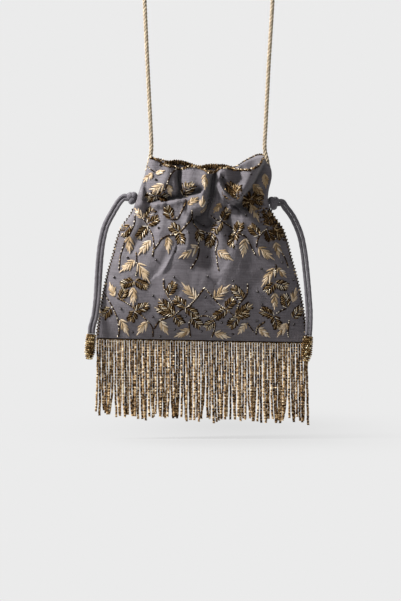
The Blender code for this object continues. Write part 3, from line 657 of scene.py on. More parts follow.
AMBER_MATERIAL = toned_material(
    "amber_glass_beads",
    ((0.0, (0.026, 0.013, 0.004)), (0.35, (0.070, 0.038, 0.014)), (0.6, (0.25, 0.145, 0.055)),
     (0.85, (0.64, 0.46, 0.22)), (1.0, (0.90, 0.80, 0.56))),
    roughness=0.28, metallic=0.35, grain_scale=1200.0, grain=0.2)
SMOKY_MATERIAL = toned_material(
    "smoky_glass_beads",
    ((0.0, (0.020, 0.017, 0.017)), (0.5, (0.075, 0.066, 0.066)), (1.0, (0.42, 0.39, 0.385))),
    roughness=0.3, metallic=0.1, grain_scale=1200.0, grain=0.2)
FRINGE_MATERIAL = toned_material(
    "strung_glass_beads",
    ((0.0, (0.030, 0.016, 0.008)), (0.3, (0.125, 0.069, 0.029)), (0.55, (0.330, 0.195, 0.084)),
     (0.75, (0.62, 0.425, 0.222)), (1.0, (0.92, 0.77, 0.53))),
    roughness=0.42, metallic=0.2, grain_scale=1200.0, grain=0.35)
CORD_MATERIAL = cord_material("twisted_gold_cord", (0.075, 0.048, 0.022), (0.66, 0.53, 0.36))


def add_camera():
    data = bpy.data.cameras.new("camera")
    data.sensor_fit = "HORIZONTAL"
    data.sensor_width = SENSOR
    data.lens = SENSOR * -CAMERA[1] / PICTURE_WIDTH
    data.clip_end = 50.0
    camera = bpy.data.objects.new("camera", data)
    camera.location = Vector(CAMERA) * MM
    camera.rotation_euler = (math.pi / 2, 0.0, 0.0)
    bpy.context.scene.collection.objects.link(camera)
    bpy.context.scene.camera = camera


# Cords

SLING_LEFT_RUN = ((-50.6, 192), (-51.4, 215), (-53.2, 250), (-54.9, 285), (-57.4, 340), (-58.0, 362))
SLING_RIGHT_RUN = ((70.9, 362), (70.6, 340), (67.0, 280), (65.2, 245), (63.6, 213), (62.7, 192))
SLING_ARCH = ((-54.0, 386), (-41.0, 408), (-22.0, 419.5), (0.0, 422.7), (24.0, 420.6), (48.0, 411),
              (65.0, 389))
LEFT_TAIL = ((-83.0, -1.0, 138.0), (-89.5, -1.5, 127.3), (-96.2, -2.0, 114.0), (-100.0, -2.5, 98.6),
             (-102.0, -3.0, 83.3), (-103.2, -3.8, 66.1), (-104.0, -4.8, 50.8), (-105.0, -6.0, 37.4),
             (-106.8, -7.6, 24.0), (-109.6, -9.2, 13.5), (-110.2, -9.4, 6.5))
RIGHT_TAIL = ((83.6, -0.8, 132.6), (88.6, -1.4, 126.0), (93.2, -2.0, 117.7), (98.4, -2.5, 104.3),
              (101.6, -3.0, 89.0), (103.4, -3.6, 73.7), (104.8, -4.4, 58.4), (106.0, -5.6, 43.1),
              (106.9, -7.6, 27.8), (106.4, -9.6, 11.5), (105.8, -9.8, 4.5))
TAIL_LEAD = 3.5
TAIL_RADIUS = 1.8          # of the cloth string as it shows, with its creases
CORD_PLY = 0.94            # radius of each of the sling's three plies
PLY_OFFSET = 1.22
PLY_SIDES = 10
PLY_TONES = (0.5, 0.84, 0.66)
CORD_LAY = 11.4            # length of one turn of the plies

# A beaded end: rows of brick-stitched beads round a cloth core
END_ROWS = 12
END_BEADS = 16
END_LENGTH = 25.0
END_RADIUS = 4.75
END_CORE = 4.1
END_BEAD = (1.85, 1.95, 1.45)

# A knot: the scale of its path across, in depth and in height, and the string's radii
KNOT_PATH = (1.25, 1.9, 1.75)
KNOT_STRING = 3.5
KNOT_NECK = 1.5


def seam_point(x, h):
    """A point in the plane of the side seams."""
    return np.array((x, 0.0, hung(x, h)))


def sling_points():
    low = BAG_HEIGHT - SLING_TUCK
    top = BAG_HEIGHT - SLING_DIAMETER
    tucked = [[(edge_x(end, h) - end * SLING_INSET, h) for h in (low, top)] for end in (-1, 1)]
    lift = HANG_DROP + SLING_DIAMETER / 2 - SLING_ARCH[3][1]
    points = [*tucked[0], *SLING_LEFT_RUN, *((x, h + lift) for x, h in SLING_ARCH)]
    points += [*SLING_RIGHT_RUN, *reversed(tucked[1])]
    return [(float(x), 0.0, h - HANG_DROP) for x, h in points]


def add_sling():
    """Three plies laid round each other, each of fine twisted threads, painted darker in the grooves between
    them as shade.
    """
    route = smooth_route(sling_points(), 0.8)
    side, up = route_frames(route)
    middles = np.concatenate([np.repeat(route, PLY_SIDES, axis=0), route[[0, -1]]])

    def lobed(along, around):
        return CORD_PLY * (1 + 0.07 * np.cos(5 * around - along * 2.4))

    parts, tones = [], []
    for ply, tone in enumerate(PLY_TONES):
        turn = 2 * math.pi * (distances(route) / CORD_LAY + ply / 3)
        centre = route + PLY_OFFSET * (side * np.cos(turn)[:, None] + up * np.sin(turn)[:, None])
        points, faces = tube(centre, PLY_SIDES, lobed)
        parts.append((points, faces))
        # Darker towards the grooves between the plies: painted shade.
        outward = np.linalg.norm(points - middles, axis=1)
        groove = smoothstep(outward, 1.3, 0.93 * (PLY_OFFSET + CORD_PLY))
        tones.append(tone * groove - 0.3 * (1 - groove))
    sling = add_mesh("sling", *joined(parts), CORD_MATERIAL, "gold_cord", "sling_cord", np.concatenate(tones))


def knot_centre(end):
    h = NECK_HEIGHT - end * STRING_LEVEL
    return seam_point(edge_x(end, h) + end * (KNOT_RADII[0] + GAP), h)


def tail_points(end):
    start = knot_centre(end) + (end * (KNOT_RADII[0] + 1.5 * GAP), 0, 0)
    lead = start + (end * TAIL_LEAD, 0, 0)
    hanging = [(x, y, h - HANG_DROP) for x, y, h in (LEFT_TAIL if end < 0 else RIGHT_TAIL)]
    return np.array([start, lead, *hanging])


def tail_route(end, strand):
    """One strand of a tail: strand -1 lies outside the pair's middle and +1 inside."""
    points = tail_points(end)
    inside = points[0] - (points[1] - points[0]) * 0.9
    middle = np.concatenate([[inside], smooth_route(points, 1.2)])
    ahead = np.gradient(middle, axis=0)
    across = np.stack([ahead[:, 2], 0 * ahead[:, 0], -ahead[:, 0]], -1)
    across /= np.linalg.norm(across, axis=1, keepdims=True)
    return middle + across * (STRING_DIAMETER / 2 + GAP) * strand


def add_tails():
    """Doubled tubes of cloth, creased where they bend, with a beaded end on each pair."""
    for end, name in ((-1, "left"), (1, "right")):
        beaded = add_bead_end(name, end)
        for strand, place in ((-1, "outer"), (1, "inner")):
            route = tail_route(end, strand)

            def creased(along, around):
                flat = 1 + 0.07 * np.cos(2 * around + 0.02 * along)
                pinch = 0.05 * np.sin(along * 0.9 + 2 * np.sin(around + strand)) * np.sin(along * 0.13 + end)
                return TAIL_RADIUS * (flat + pinch + 0.03 * np.cos(3 * around + along * 0.11))

            tail = add_mesh(f"{name}_{place}_string", *tube(route, 18, creased), STRING_MATERIAL,
                            "string_cloth", f"{name}_{place}_tail")


def add_bead_end(name, end):
    """A barrel of brick-stitched seed beads round a cloth core."""
    above, top = tail_points(end)[-2:]
    down = (top - above) / np.linalg.norm(top - above)
    side = np.cross(down, (0, 1, 0))
    side /= np.linalg.norm(side)
    out = np.cross(down, side)
    draws = np.random.default_rng(31 + end)
    beads = Scatter(SEED_BEAD)
    for row in range(END_ROWS):
        share = (row + 0.5) / END_ROWS
        radius = END_RADIUS - 2.2 * max(0.0, share - 0.72) / 0.28 - 0.5 * max(0.0, 0.15 - share) / 0.15
        for k in range(END_BEADS):
            turn = 2 * math.pi * (k + 0.5 * (row % 2)) / END_BEADS
            outward = side * math.cos(turn) + out * math.sin(turn)
            place = top + down * (0.8 + END_LENGTH * share) + outward * radius
            tone = (0.42, 0.60)[row % 2] + 0.14 * draws.standard_normal() + 0.34 * (draws.random() > 0.76)
            beads.put(place, np.cross(down, outward), outward, END_BEAD, tone)
    barrel = beads.finish(f"{name}_beaded_end", AMBER_MATERIAL, "antique_beads", f"{name}_bead_end")

    def tapered(along, around):
        return END_CORE - 2.0 * smoothstep(along, 0.7 * END_LENGTH, END_LENGTH)

    line = np.array([top + down * d for d in np.linspace(0.3, END_LENGTH + 0.9, 12)])
    points, faces = tube(line, 16, tapered)
    core = add_mesh(f"{name}_beaded_end_core", points, faces, THREAD_MATERIAL, "antique_beads",
                    tones=np.zeros(len(points)))
    core.parent = barrel
    return barrel


def add_knots():
    """Overhand knots of the cloth string, drawn up tight."""
    turn = np.linspace(0, 2 * math.pi, 97)
    wide, deep, high = KNOT_PATH

    def wrapped(along, around):
        flat = 1 + 0.07 * np.cos(2 * around + along * 0.2)
        return KNOT_STRING * (flat + 0.05 * np.sin(along * 1.3 + around))

    def creased(along, around):
        return KNOT_NECK + 0.1 * np.cos(2 * around + along)

    for end, name in ((-1, "left"), (1, "right")):
        centre = knot_centre(end)
        loop = np.stack([end * wide * (np.sin(turn) + 1.1 * np.sin(2 * turn)),
                         deep * -np.sin(3 * turn),
                         high * (np.cos(turn) - 1.1 * np.cos(2 * turn))], -1)
        loop[:, 2] -= loop[:, 2].mean()
        parts = [tube(centre + loop, 16, wrapped)]
        edge = centre - (end * (KNOT_RADII[0] + 2.0), 0, 0)
        for spread in (-1, 1):
            neck = smooth_route([edge + (0, spread * STRING_SPREAD, 0.4 * spread),
                                 centre + (-end * 3.2, spread * 1.5, 0.3 * spread), centre], 1.0)
            parts.append(tube(neck, 12, creased))
        add_mesh(f"{name}_string_knot", *joined(parts), STRING_MATERIAL, "string_cloth", f"{name}_knot")


# Cloth

FRONT_GRID = (201, 161)    # columns and rows of points
BACK_GRID = (131, 101)
LINING_GRID = (91, 60)
LINING_INSET = 3.5         # of the lining's sides from the side seams
LINING_ROOM = 3.6          # for the strings, between the lining and the cloth
LINING_WALL = (0.3, 0.6, 0.0)
CASING_STRING = 1.4        # radius of a string in the casing


def add_cloth():
    """The two outer panels: the points of each one's outer face, and its object."""
    sheets = {}
    for side, name, columns, rows in ((-1, "front", *FRONT_GRID), (1, "back", *BACK_GRID)):
        outer, flat = cloth_grid(side, columns, rows)
        inner = outer - grid_normals(outer, side) * (CLOTH * 0.8)
        # The tone at each point is the painted shade of the folds.
        cloth = add_mesh(f"{name}_cloth", *closed_sheet(outer, inner, side), CLOTH_MATERIAL, "cloth",
                         f"{name}_panel", np.tile(painted_fold_shade_tones(outer).ravel(), 2),
                         np.tile(flat.reshape(-1, 2), (2, 1)))
        sheets[side] = outer, cloth
    return sheets


def add_lining():
    """The inner bag, a little inside the two panels, as one closed wall."""
    columns, rows = LINING_GRID
    halves = []
    for side in (-1, 1):
        outer, _ = cloth_grid(side, columns, rows)
        h = outer[..., 2] + HANG_DROP
        inset = LINING_INSET + 9.0 * np.exp(-(h - 10.0) / 9.0)
        x = np.clip(outer[..., 0], outer[:, :1, 0] + inset, outer[:, -1:, 0] - inset)
        depth = np.maximum(np.abs(outer[..., 1]) - CLOTH - 1.0 - LINING_ROOM * at_casing(h), 1.0)
        half = np.stack([x, side * depth, outer[..., 2] - 0.4], -1)[4:]
        halves.append(half if side < 0 else half[:, ::-1])
    ring = np.concatenate(halves, axis=1)
    count_rows, around = ring.shape[:2]
    inward = ring.mean(axis=1, keepdims=True) - ring
    inward[..., 2] = 0
    inner = ring + np.sign(inward) * LINING_WALL * np.minimum(np.abs(ring[..., 1:2]), 1.0)
    count = count_rows * around
    outside = grid_quads(count_rows, around, closed=True)
    top = np.arange(around) + (count_rows - 1) * around
    ahead = np.roll(top, -1)
    rim = np.stack([top, ahead, ahead + count, top + count], -1)
    near = np.arange(columns)
    far = around - 1 - near
    bottom = np.stack([near[:-1], far[:-1], far[1:], near[1:]], -1)
    faces = np.concatenate([outside, outside[:, ::-1] + count, rim, bottom, bottom[:, ::-1] + count])
    points = np.concatenate([ring.reshape(-1, 3), inner.reshape(-1, 3)])
    flat = points[:, [0, 2]] + (BOTTOM_HALF_WIDTH, HANG_DROP)
    return add_mesh("lining_bag", points, faces, LINING_MATERIAL, "lining", "lining", flat=flat)


def add_casing_strings(sheets):
    """The drawstrings inside their casing, between the cloth and the lining."""
    def creased(along, around):
        return CASING_STRING + 0.06 * np.cos(2 * around + 0.2 * along)

    for end, name in ((-1, "left"), (1, "right")):
        h = NECK_HEIGHT - end * STRING_LEVEL
        level = h - HANG_DROP
        runs = []
        for side in (-1, 1):
            outer = sheets[side][0]
            row = int(np.argmin(np.abs(outer[:, outer.shape[1] // 2, 2] - level)))
            line = outer[row][4:-4:3].copy()
            line[:, 1] -= side * (CLOTH + STRING_DIAMETER / 2 + 1.0)
            line[:, 2] = level
            runs.append(line)
        turn = [(edge_x(-end, h) + end * 2.2, 0.0, level)]
        front = runs[0] if end < 0 else runs[0][::-1]
        back = runs[1][::-1] if end < 0 else runs[1]
        route = smooth_route(np.concatenate([front, turn, back]), 2.0)
        add_mesh(f"{name}_casing_string", *tube(route, 12, creased), STRING_MATERIAL, "string_cloth",
                 f"{name}_casing_run")


# Embroidery. A leaf is (x, height) of its base and of its tip.

THREAD_LEAVES = (
    ((-87.5, 43.9), (-92.3, 58.3)), ((-68.4, 52.5), (-68.6, 33.2)), ((-81.3, 20.7), (-72.7, 3.5)),
    ((-55, 18.1), (-65.5, 4.5)), ((-41.6, 19.3), (-33.5, 5)), ((-72.7, 103.4), (-72.2, 85.7)),
    ((-51.6, 99.6), (-64.1, 84.3)), ((-67.4, 79), (-82.7, 67.1)), ((-64, 77), (-51.6, 56.5)),
    ((-5.9, 41.3), (-20.7, 58)), ((12.3, 41.3), (28.5, 56.1)), ((-12.1, 10.7), (-28.4, 3)),
    ((12.3, 6.9), (29, 2.5)), ((43.8, 16.5), (35.5, 5.5)), ((56.6, 12), (68.4, 2.5)),
    ((84.6, 17), (74.7, 2.5)), ((73, 46.9), (72.3, 29.7)), ((90.5, 38.1), (93.9, 52.8)),
    ((72.3, 71.7), (59, 52.3)), ((75.2, 71.7), (84.6, 62.1)), ((-4, 94.3), (-24.1, 81.4)),
    ((15.6, 89.1), (31.9, 79)), ((-34.1, 103), (-33.2, 85.7)), ((-0.5, 127), (1, 145)),
    ((49.5, 135.2), (57, 117)), ((43.3, 101.1), (40.4, 82)), ((56.6, 92.3), (72.8, 79.5)),
    ((73.3, 97.2), (77.2, 81.5)), ((-49.4, 166.5), (-58.6, 157.3)), ((-45.9, 166.5), (-36.5, 169.5)),
    ((-38.2, 155.3), (-55, 146.6)), ((-33.6, 155.3), (-30.5, 144)), ((3.5, 165.5), (3, 150)),
    ((-58.3, 121.6), (-67.4, 132.1)), ((63, 166.1), (64.1, 151)), ((51.1, 155.3), (63, 144)),
    ((-13.7, 135.4), (-3.5, 143)), ((18.6, 136.3), (11.6, 126.6)),
)
BEAD_LEAVES = (
    ((-67.9, 59), (-81.8, 54.7)), ((-67, 59), (-53.6, 52.3)), ((-81.3, 40.8), (-76.5, 51.3)),
    ((-90.9, 32.2), (-99, 23.1)), ((-67.9, 28.9), (-52.6, 35.1)), ((-67.4, 29.3), (-71.7, 18.3)),
    ((-33.7, 45.1), (-26.5, 58.5)), ((-16.4, 33.6), (-27.9, 41.8)), ((-16.4, 32.7), (-3.5, 23.1)),
    ((-27.9, 25.5), (-43, 41.3)), ((-28, 25.5), (-47.3, 32.7)), ((-27, 24.6), (-20.3, 15.5)),
    ((-9.3, 21.7), (-1.1, 13.1)), ((12.3, 18.3), (3.2, 12.6)), ((23.7, 31.7), (32.4, 41.3)),
    ((24.7, 30.8), (11.3, 21.7)), ((36.2, 22.6), (26.6, 12.6)), ((40.9, 41), (30.4, 54.7)),
    ((34, 24.3), (50.7, 36.1)), ((33.5, 24), (47.7, 27)), ((71.8, 24.3), (58, 30.7)),
    ((71.8, 24.3), (76.2, 11.1)), ((85, 32.2), (81.6, 46.4)), ((90.9, 21.9), (99.3, 32.7)),
    ((72.3, 56.7), (63.4, 47.4)), ((73.3, 57.2), (86.5, 52.8)), ((-71.7, 114.4), (-81.3, 103.4)),
    ((-55.5, 121.1), (-48.3, 132.1)), ((-54.5, 115.9), (-42.6, 122.1)), ((-54.5, 113.5), (-65, 101)),
    ((-22.2, 108.2), (-31.7, 114.4)), ((-23.1, 107.7), (-19.8, 95.3)), ((-30.8, 121.1), (-35.5, 134.5)),
    ((-4.5, 110.1), (-0.6, 99.1)), ((10.8, 106.3), (6, 92.4)), ((19.4, 118.3), (11.3, 107.3)),
    ((19.9, 119.7), (27.1, 132.1)), ((34.3, 107.3), (28, 92)), ((56.6, 104.6), (47.7, 114.9)),
    ((65, 110), (69, 98.5)), ((70, 114), (75, 126)), ((70, 112), (82, 112)), ((71, 111), (81, 103)),
    ((68, 114), (65, 128)), ((35, 107), (38.5, 117.5)), ((-45.4, 145.1), (-55.1, 141)),
    ((-46.4, 145.1), (-34.1, 142.6)), ((-18.8, 144.1), (-7.1, 157.3)), ((35.9, 143.4), (25.1, 158)),
    ((50, 141.2), (39.7, 138)), ((49, 141.2), (62, 138)), ((34, 141), (36.5, 156)),
    ((31, 141.5), (22, 150.5)), ((-19, 145), (-13.5, 157)), ((50, 141), (44.5, 131.5)),
    ((50, 142), (60.5, 147)), ((49.5, 142), (41, 145)),
)
STEMS = (
    ((-97.1, 46.1), (-95.7, 43.2), (-90.9, 35.6), (-87.5, 28.4), (-85.1, 23.1), (-83.7, 16), (-83.2, 7.8),
     (-84.6, 3)),
    ((-85.6, 42.7), (-76.5, 38), (-67.9, 31.7), (-59.3, 23.6), (-53.6, 18.3), (-49.7, 12.1), (-49.3, 3)),
    ((-48.3, 11.2), (-43, 19.3), (-36.3, 22.2), (-27.9, 25.5)),
    ((-27.4, 25.5), (-21.7, 30.3), (-14.5, 33.6), (-8.3, 39.4), (-3.5, 45.1), (2.2, 52.8)),
    ((2.2, 52.8), (10.8, 42.7), (17, 35.6), (22.8, 31.7), (30, 26), (34.7, 22.2)),
    ((-38.3, 61.4), (-38.7, 56.6), (-37.8, 51.3), (-35.9, 47), (-34.1, 43.7), (-30.3, 37.5), (-28, 31.7),
     (-27.9, 25.5)),
    ((45.3, 56.7), (45.3, 51.3), (44.3, 45.4), (40.4, 40.5), (36.9, 36.6), (35, 30.7), (33.5, 24.3)),
    ((-11.7, 3), (-12.6, 10.2), (-13.1, 17.4), (-10.2, 21.2), (-3.5, 23.6), (2.7, 24.6), (8.9, 22.6),
     (12.7, 17.4), (11.8, 10.2), (9.4, 3)),
    ((-66, 88.1), (-65.5, 82.4), (-65.5, 70), (-66.5, 62.8)),
    ((-67, 125.4), (-67.9, 116.8), (-71.7, 108.2), (-76.5, 100.6), (-79.4, 92), (-81.8, 83.3), (-83.2, 69)),
    ((-67.9, 132.1), (-59.3, 121.6), (-54.5, 114.9), (-51.2, 108.2), (-48.8, 102.5), (-48.3, 94.3),
     (-49.3, 87.2), (-49.7, 83.3)),
    ((-48.3, 91), (-43, 97.7), (-41.1, 101), (-35.4, 104.4), (-27.4, 105.8), (-22.2, 108.2),
     (-16.4, 114.9), (-11.2, 121.6), (-10.2, 130.2)),
    ((-10.2, 122.1), (-8.3, 115.9), (-4, 110.1), (-2.6, 104.4), (-4, 96.7), (-3.5, 91), (-4.5, 84.3),
     (-8.3, 76.6), (-11.6, 71.4)),
    ((-3.5, 110.1), (1.3, 108.2), (6, 106.8), (10.4, 106.8), (15.6, 99.6), (13.7, 89.6), (14.7, 83.3),
     (15.6, 75.2), (17, 69)),
    ((8.9, 125), (13.2, 121.6), (19.4, 118.7), (25.2, 115.4), (31.9, 110.6), (34.7, 107.3), (42.8, 104.1),
     (47.2, 97.2), (50.2, 90.8), (54.1, 83.4)),
    ((54.1, 92.8), (55.1, 99.6), (58, 105.5), (62.5, 109.5), (65.4, 111.4)),
    ((73.8, 76.1), (73.3, 66.2), (72.8, 62.6)),
    ((78.7, 88.3), (82.1, 83.4), (84.6, 77.1), (86, 71.2)),
    ((84.6, 32.2), (78.7, 29.7), (73.8, 26.3)),
    ((63.4, 18.9), (56.6, 14.5), (54.6, 11.1), (53.6, 4.7)),
    ((44.8, 17.5), (48.7, 12.5), (52.2, 7.1)),
    ((87, 20.4), (86, 13.5), (85.5, 7.1), (86.5, 3)),
    ((-55.1, 174.7), (-51.5, 171.1), (-47.4, 168.1)),
    ((-26.5, 171.1), (-31.1, 166.5), (-34.1, 159.4), (-36.2, 153.3), (-40.3, 148.2)),
    ((-15.8, 141), (-19.3, 131.3), (-24.6, 122.1), (-31.3, 120.7)),
)
SINGLE_BEADS = (
    (-87.5, 62.8), (-80.8, 31.3), (-48.8, 44.2), (-48.8, 23.1), (-69.3, 7.8), (-41.6, 3.5), (5.6, 63.3),
    (-27.9, 62.8), (30.9, 59), (3.7, 42.7), (3.7, 28.4), (-16, 23.6), (19.9, 17.4), (-27, 10.7),
    (-0.2, 8.8), (30.9, 5.9), (55.6, 48.4), (60, 35.6), (55.1, 18.9), (91.4, 59.7), (91.9, 15.5),
    (-43, 112), (-60.7, 100.1), (-74.1, 82.4), (-45.9, 80), (-13.6, 107.3), (22.8, 104.4), (-27.4, 88.6),
    (5.6, 82.9), (1.3, 114.4), (44.3, 124.2), (59.5, 71.2), (80.1, 77.5), (-41.8, 175.2), (-45.9, 159.9),
    (20.8, 162.9), (49, 165.6), (36, 143.4),
)

LOW_BAND = 62.0            # the sprigs of the bottom band end at this height
SHADED_LEAVES = 4          # the last thread leaves of the list lie in the folds
LONG_LEAF = 14.5
SATIN = (1.9, 1.4)         # width and height of a stitch
MIDRIB = (1.5, 1.0)
GOLD_CUT = (0.68, 0.8)     # width and height of a cut bead
GOLD_TONES = ((0.47, 0.66, 0.96), (0.32, 0.36, 0.32))     # tones and how often each comes
# Dark strips between the gold cut beads of a leaf, standing for the shade in the gaps: painted shade
GAP_SHADE_CUT = (2.3, 0.7)
TIP_CUT = (0.8, 0.9)
CUT_GAP = 0.15
STEM_BEAD = (1.75, 1.15, 1.2)
STEM_PITCH = 2.05
SINGLE_BEAD = (2.6, 2.8, 1.9)
GLINT_BEAD = (1.1, 1.1, 0.9)


class FrontCloth:
    """Finds places on the front cloth as the camera sees them."""

    def __init__(self, outer):
        quads = grid_quads(*outer.shape[:2])
        self.tree = BVHTree.FromPolygons([tuple(p) for p in outer.reshape(-1, 3)], quads.tolist())
        self.eye = Vector(CAMERA)

    def at(self, x, h):
        """The point and normal at (x, h), or None past the cloth's edge."""
        way = Vector((x, 0.0, h - HANG_DROP)) - self.eye
        hit, normal, _, _ = self.tree.ray_cast(self.eye, way.normalized())
        if hit is None:
            return None
        normal = np.array(normal)
        return np.array(hit), normal if normal[1] < 0 else -normal


def put_between(scatter, cloth, start, end, thickness, lift, tone, shorten=0.0):
    """A stitch or long bead laid on the cloth between two places. thickness is its width
    and height."""
    found = cloth.at(*start), cloth.at(*end), cloth.at((start[0] + end[0]) / 2, (start[1] + end[1]) / 2)
    if None in found:
        return
    (a, _), (b, _), (_, normal) = found
    span = np.linalg.norm(b - a)
    if span > 3 * math.dist(start, end):
        return
    scatter.put((a + b) / 2 + normal * lift, b - a, normal, (span - shorten, *thickness), tone)


def random_way(draws, normal):
    """A random direction in the cloth."""
    turn = draws.random() * math.pi
    way = np.array((math.cos(turn), 0, math.sin(turn)))
    return way - normal * (way @ normal)


class Leaf:
    """A leaf's midrib, with places along it and strokes slanting off it."""

    def __init__(self, base, tip):
        self.base = np.array(base)
        self.tip = np.array(tip)
        midrib = self.tip - self.base
        self.length = np.linalg.norm(midrib)
        self.along = midrib / self.length
        self.across = np.array((-self.along[1], self.along[0]))

    def place(self, share):
        return self.base + self.along * self.length * share

    def stroke(self, foot, reach, slant):
        return foot + self.along * reach * math.cos(slant) + self.across * reach * math.sin(slant)


def add_thread_leaves(cloth):
    """Satin stitches fanned out from each leaf's midrib, with one on its tip and its base."""
    stitches = Scatter(STITCH)
    draws = np.random.default_rng(5)
    for number, ends in enumerate(THREAD_LEAVES):
        leaf = Leaf(*ends)
        # Painted light and shade: leaves of the bottom band are painted lighter than those above, and the
        # last ones, lying in the folds, darker.
        leaf_tone_with_painted_light = 0.72 if leaf.base[1] < LOW_BAND else 0.64
        if number >= len(THREAD_LEAVES) - SHADED_LEAVES:
            leaf_tone_with_painted_light = 0.47
        pairs = 4 if leaf.length > LONG_LEAF else 3
        for k in range(pairs):
            root = leaf.place(0.52 * k / (pairs - 0.5))
            for way in (-1, 1):
                slant = way * math.radians(37 - 6 * k + draws.normal(0, 4))
                reach = leaf.length * (0.40 + 0.05 * math.sin(1.5 * k)) * (1 + draws.normal(0, 0.08))
                foot = root + leaf.along * draws.normal(0, 0.3)
                tone = leaf_tone_with_painted_light + draws.normal(0, 0.16)
                head = leaf.stroke(foot, reach, slant)
                put_between(stitches, cloth, foot, head, SATIN, 0.45 + 0.1 * k, tone)
        put_between(stitches, cloth, leaf.place(0.46), leaf.tip, SATIN, 0.7, leaf_tone_with_painted_light + 0.05)
        start = leaf.base - leaf.along * 0.6
        put_between(stitches, cloth, start, leaf.place(0.62), MIDRIB, 0.35, leaf_tone_with_painted_light - 0.16)
    stitches.finish("thread_leaves", THREAD_MATERIAL, "antique_beads")


def bead_leaf_painted_shade(base):
    """How much darker the beads are painted by the right seam and at the right of the collar, where the bag
    is in shade: painted shade.
    """
    if base[0] > 58 and base[1] > 98:
        return 0.28
    return 0.2 if base[0] > 20 and base[1] > 138 else 0.0


def add_bead_leaves(cloth):
    """Gold cut beads in pairs along each leaf's midrib, with dark strips between them painted as the shade in
    the gaps.
    """
    beads = Scatter(BUGLE_BEAD)
    draws = np.random.default_rng(11)
    for ends in BEAD_LEAVES:
        leaf = Leaf(*ends)
        # Painted shade: leaves by the right seam and at the right of the collar are darker.
        leaf_painted_shade = bead_leaf_painted_shade(leaf.base)
        pairs = 2 * max(3, round(leaf.length / 3.0)) + 1
        for k in range(pairs):
            share = k / (pairs - 1)
            gold = k % 2 == 0
            root = leaf.place(0.72 * share)
            for way in (-1, 1):
                slant = way * math.radians(54 - 20 * share + draws.normal(0, 3.5))
                foot = root + leaf.across * way * 0.3 + leaf.along * draws.normal(0, 0.15)
                reach = (4.2 + 1.7 * math.sin(math.pi * (0.1 + 0.8 * share))) * (1 + draws.normal(0, 0.07))
                if gold:
                    head = leaf.stroke(foot, reach, slant)
                    tone = draws.choice(GOLD_TONES[0], p=GOLD_TONES[1]) - leaf_painted_shade
                    tone += draws.normal(0, 0.05)
                    put_between(beads, cloth, foot, head, GOLD_CUT, 0.8, tone, CUT_GAP)
                else:
                    # A dark strip between the gold beads stands for the shade in the gap: painted shade.
                    head = leaf.stroke(foot, 1.1 * reach, slant)
                    put_between(beads, cloth, foot, head, GAP_SHADE_CUT, 0.25, -0.1)
        put_between(beads, cloth, leaf.place(0.7), leaf.tip, TIP_CUT, 0.8, 0.85 - leaf_painted_shade)
    beads.finish("bead_leaves", BEAD_MATERIAL, "antique_beads")


def add_stems(cloth):
    """Rows of small beads couched over a dark thread, laid a little below them as a painted shadow too. The
    single beads share the draws.
    """
    beads = Scatter(SEED_BEAD)
    draws = np.random.default_rng(17)
    threads = []
    for stem in STEMS:
        route = smooth_route(stem, 0.5)
        stops = np.arange(0.8, distances(route)[-1], STEM_PITCH)
        centre_x, centre_h = route.mean(0)
        bright_share = 0.62 if centre_h < LOW_BAND and abs(centre_x) < 30 else 0.34
        line = []
        for centre, towards in zip(read_route(route, stops), read_route(route, stops + 0.5)):
            found, beyond = cloth.at(*centre), cloth.at(*towards)
            if found is None or beyond is None:
                continue
            point, normal = found
            way = beyond[0] - point
            if not 0.05 < np.linalg.norm(way) < 3:
                continue
            bright = draws.random()
            tone = 1.0 if bright < bright_share else 0.62 if bright < bright_share + 0.2 else 0.06
            beads.put(point + normal * 0.55, way, normal, STEM_BEAD, tone + draws.normal(0, 0.05))
            # The dark thread runs a little below and to the right of each bead, so it is partly a real thread
            # and partly the beads' painted shadow.
            line.append(point + normal * 0.25 + (0.55, 0, -0.7))
        if len(line) > 2:
            threads.append(tube(smooth_route(line, 1.5), 6, lambda along, around: 0.6))
    add_single_beads(cloth, draws)
    beads.finish("stem_beads", BEAD_MATERIAL, "antique_beads")
    points, faces = joined(threads)
    add_mesh("couching_thread_and_shadow_line", points, faces, THREAD_MATERIAL, "antique_beads",
             tones=np.full(len(points), -0.2))


def add_single_beads(cloth, draws):
    """Smoky beads sewn one by one, each with a small pale bead on its upper left as a painted highlight."""
    beads = Scatter(SEED_BEAD)
    for x, h in SINGLE_BEADS:
        found = cloth.at(x, h)
        if found is None:
            continue
        point, normal = found
        way = random_way(draws, normal)
        # The pale bead is a painted highlight, set towards the upper left.
        glint = point + normal * 1.2 + (-0.5, 0, 0.5)
        beads.put(point + normal * 0.6, way, normal, SINGLE_BEAD, 0.15)
        beads.put(glint, way, normal, GLINT_BEAD, 0.8 + draws.normal(0, 0.2))
    beads.finish("single_beads", SMOKY_MATERIAL, "antique_beads")


# Edge beading

RIM_PITCH = 0.8
RIM_BEAD = (1.8, 1.9, 1.9)
INNER_ROW_BEAD = (1.9, 1.7, 1.4)
SEAM_TOP = 131.0
SEAM_PITCH = 1.6
SEAM_BEAD = (2.4, 2.8, 2.4)
CLUSTER_COUNT = 190
CLUSTER_BEAD = (1.9, 1.5, 1.3)
CLUSTER_TONES = ((0.02, 0.3, 0.55, 0.8), (0.52, 0.3, 0.12, 0.06))


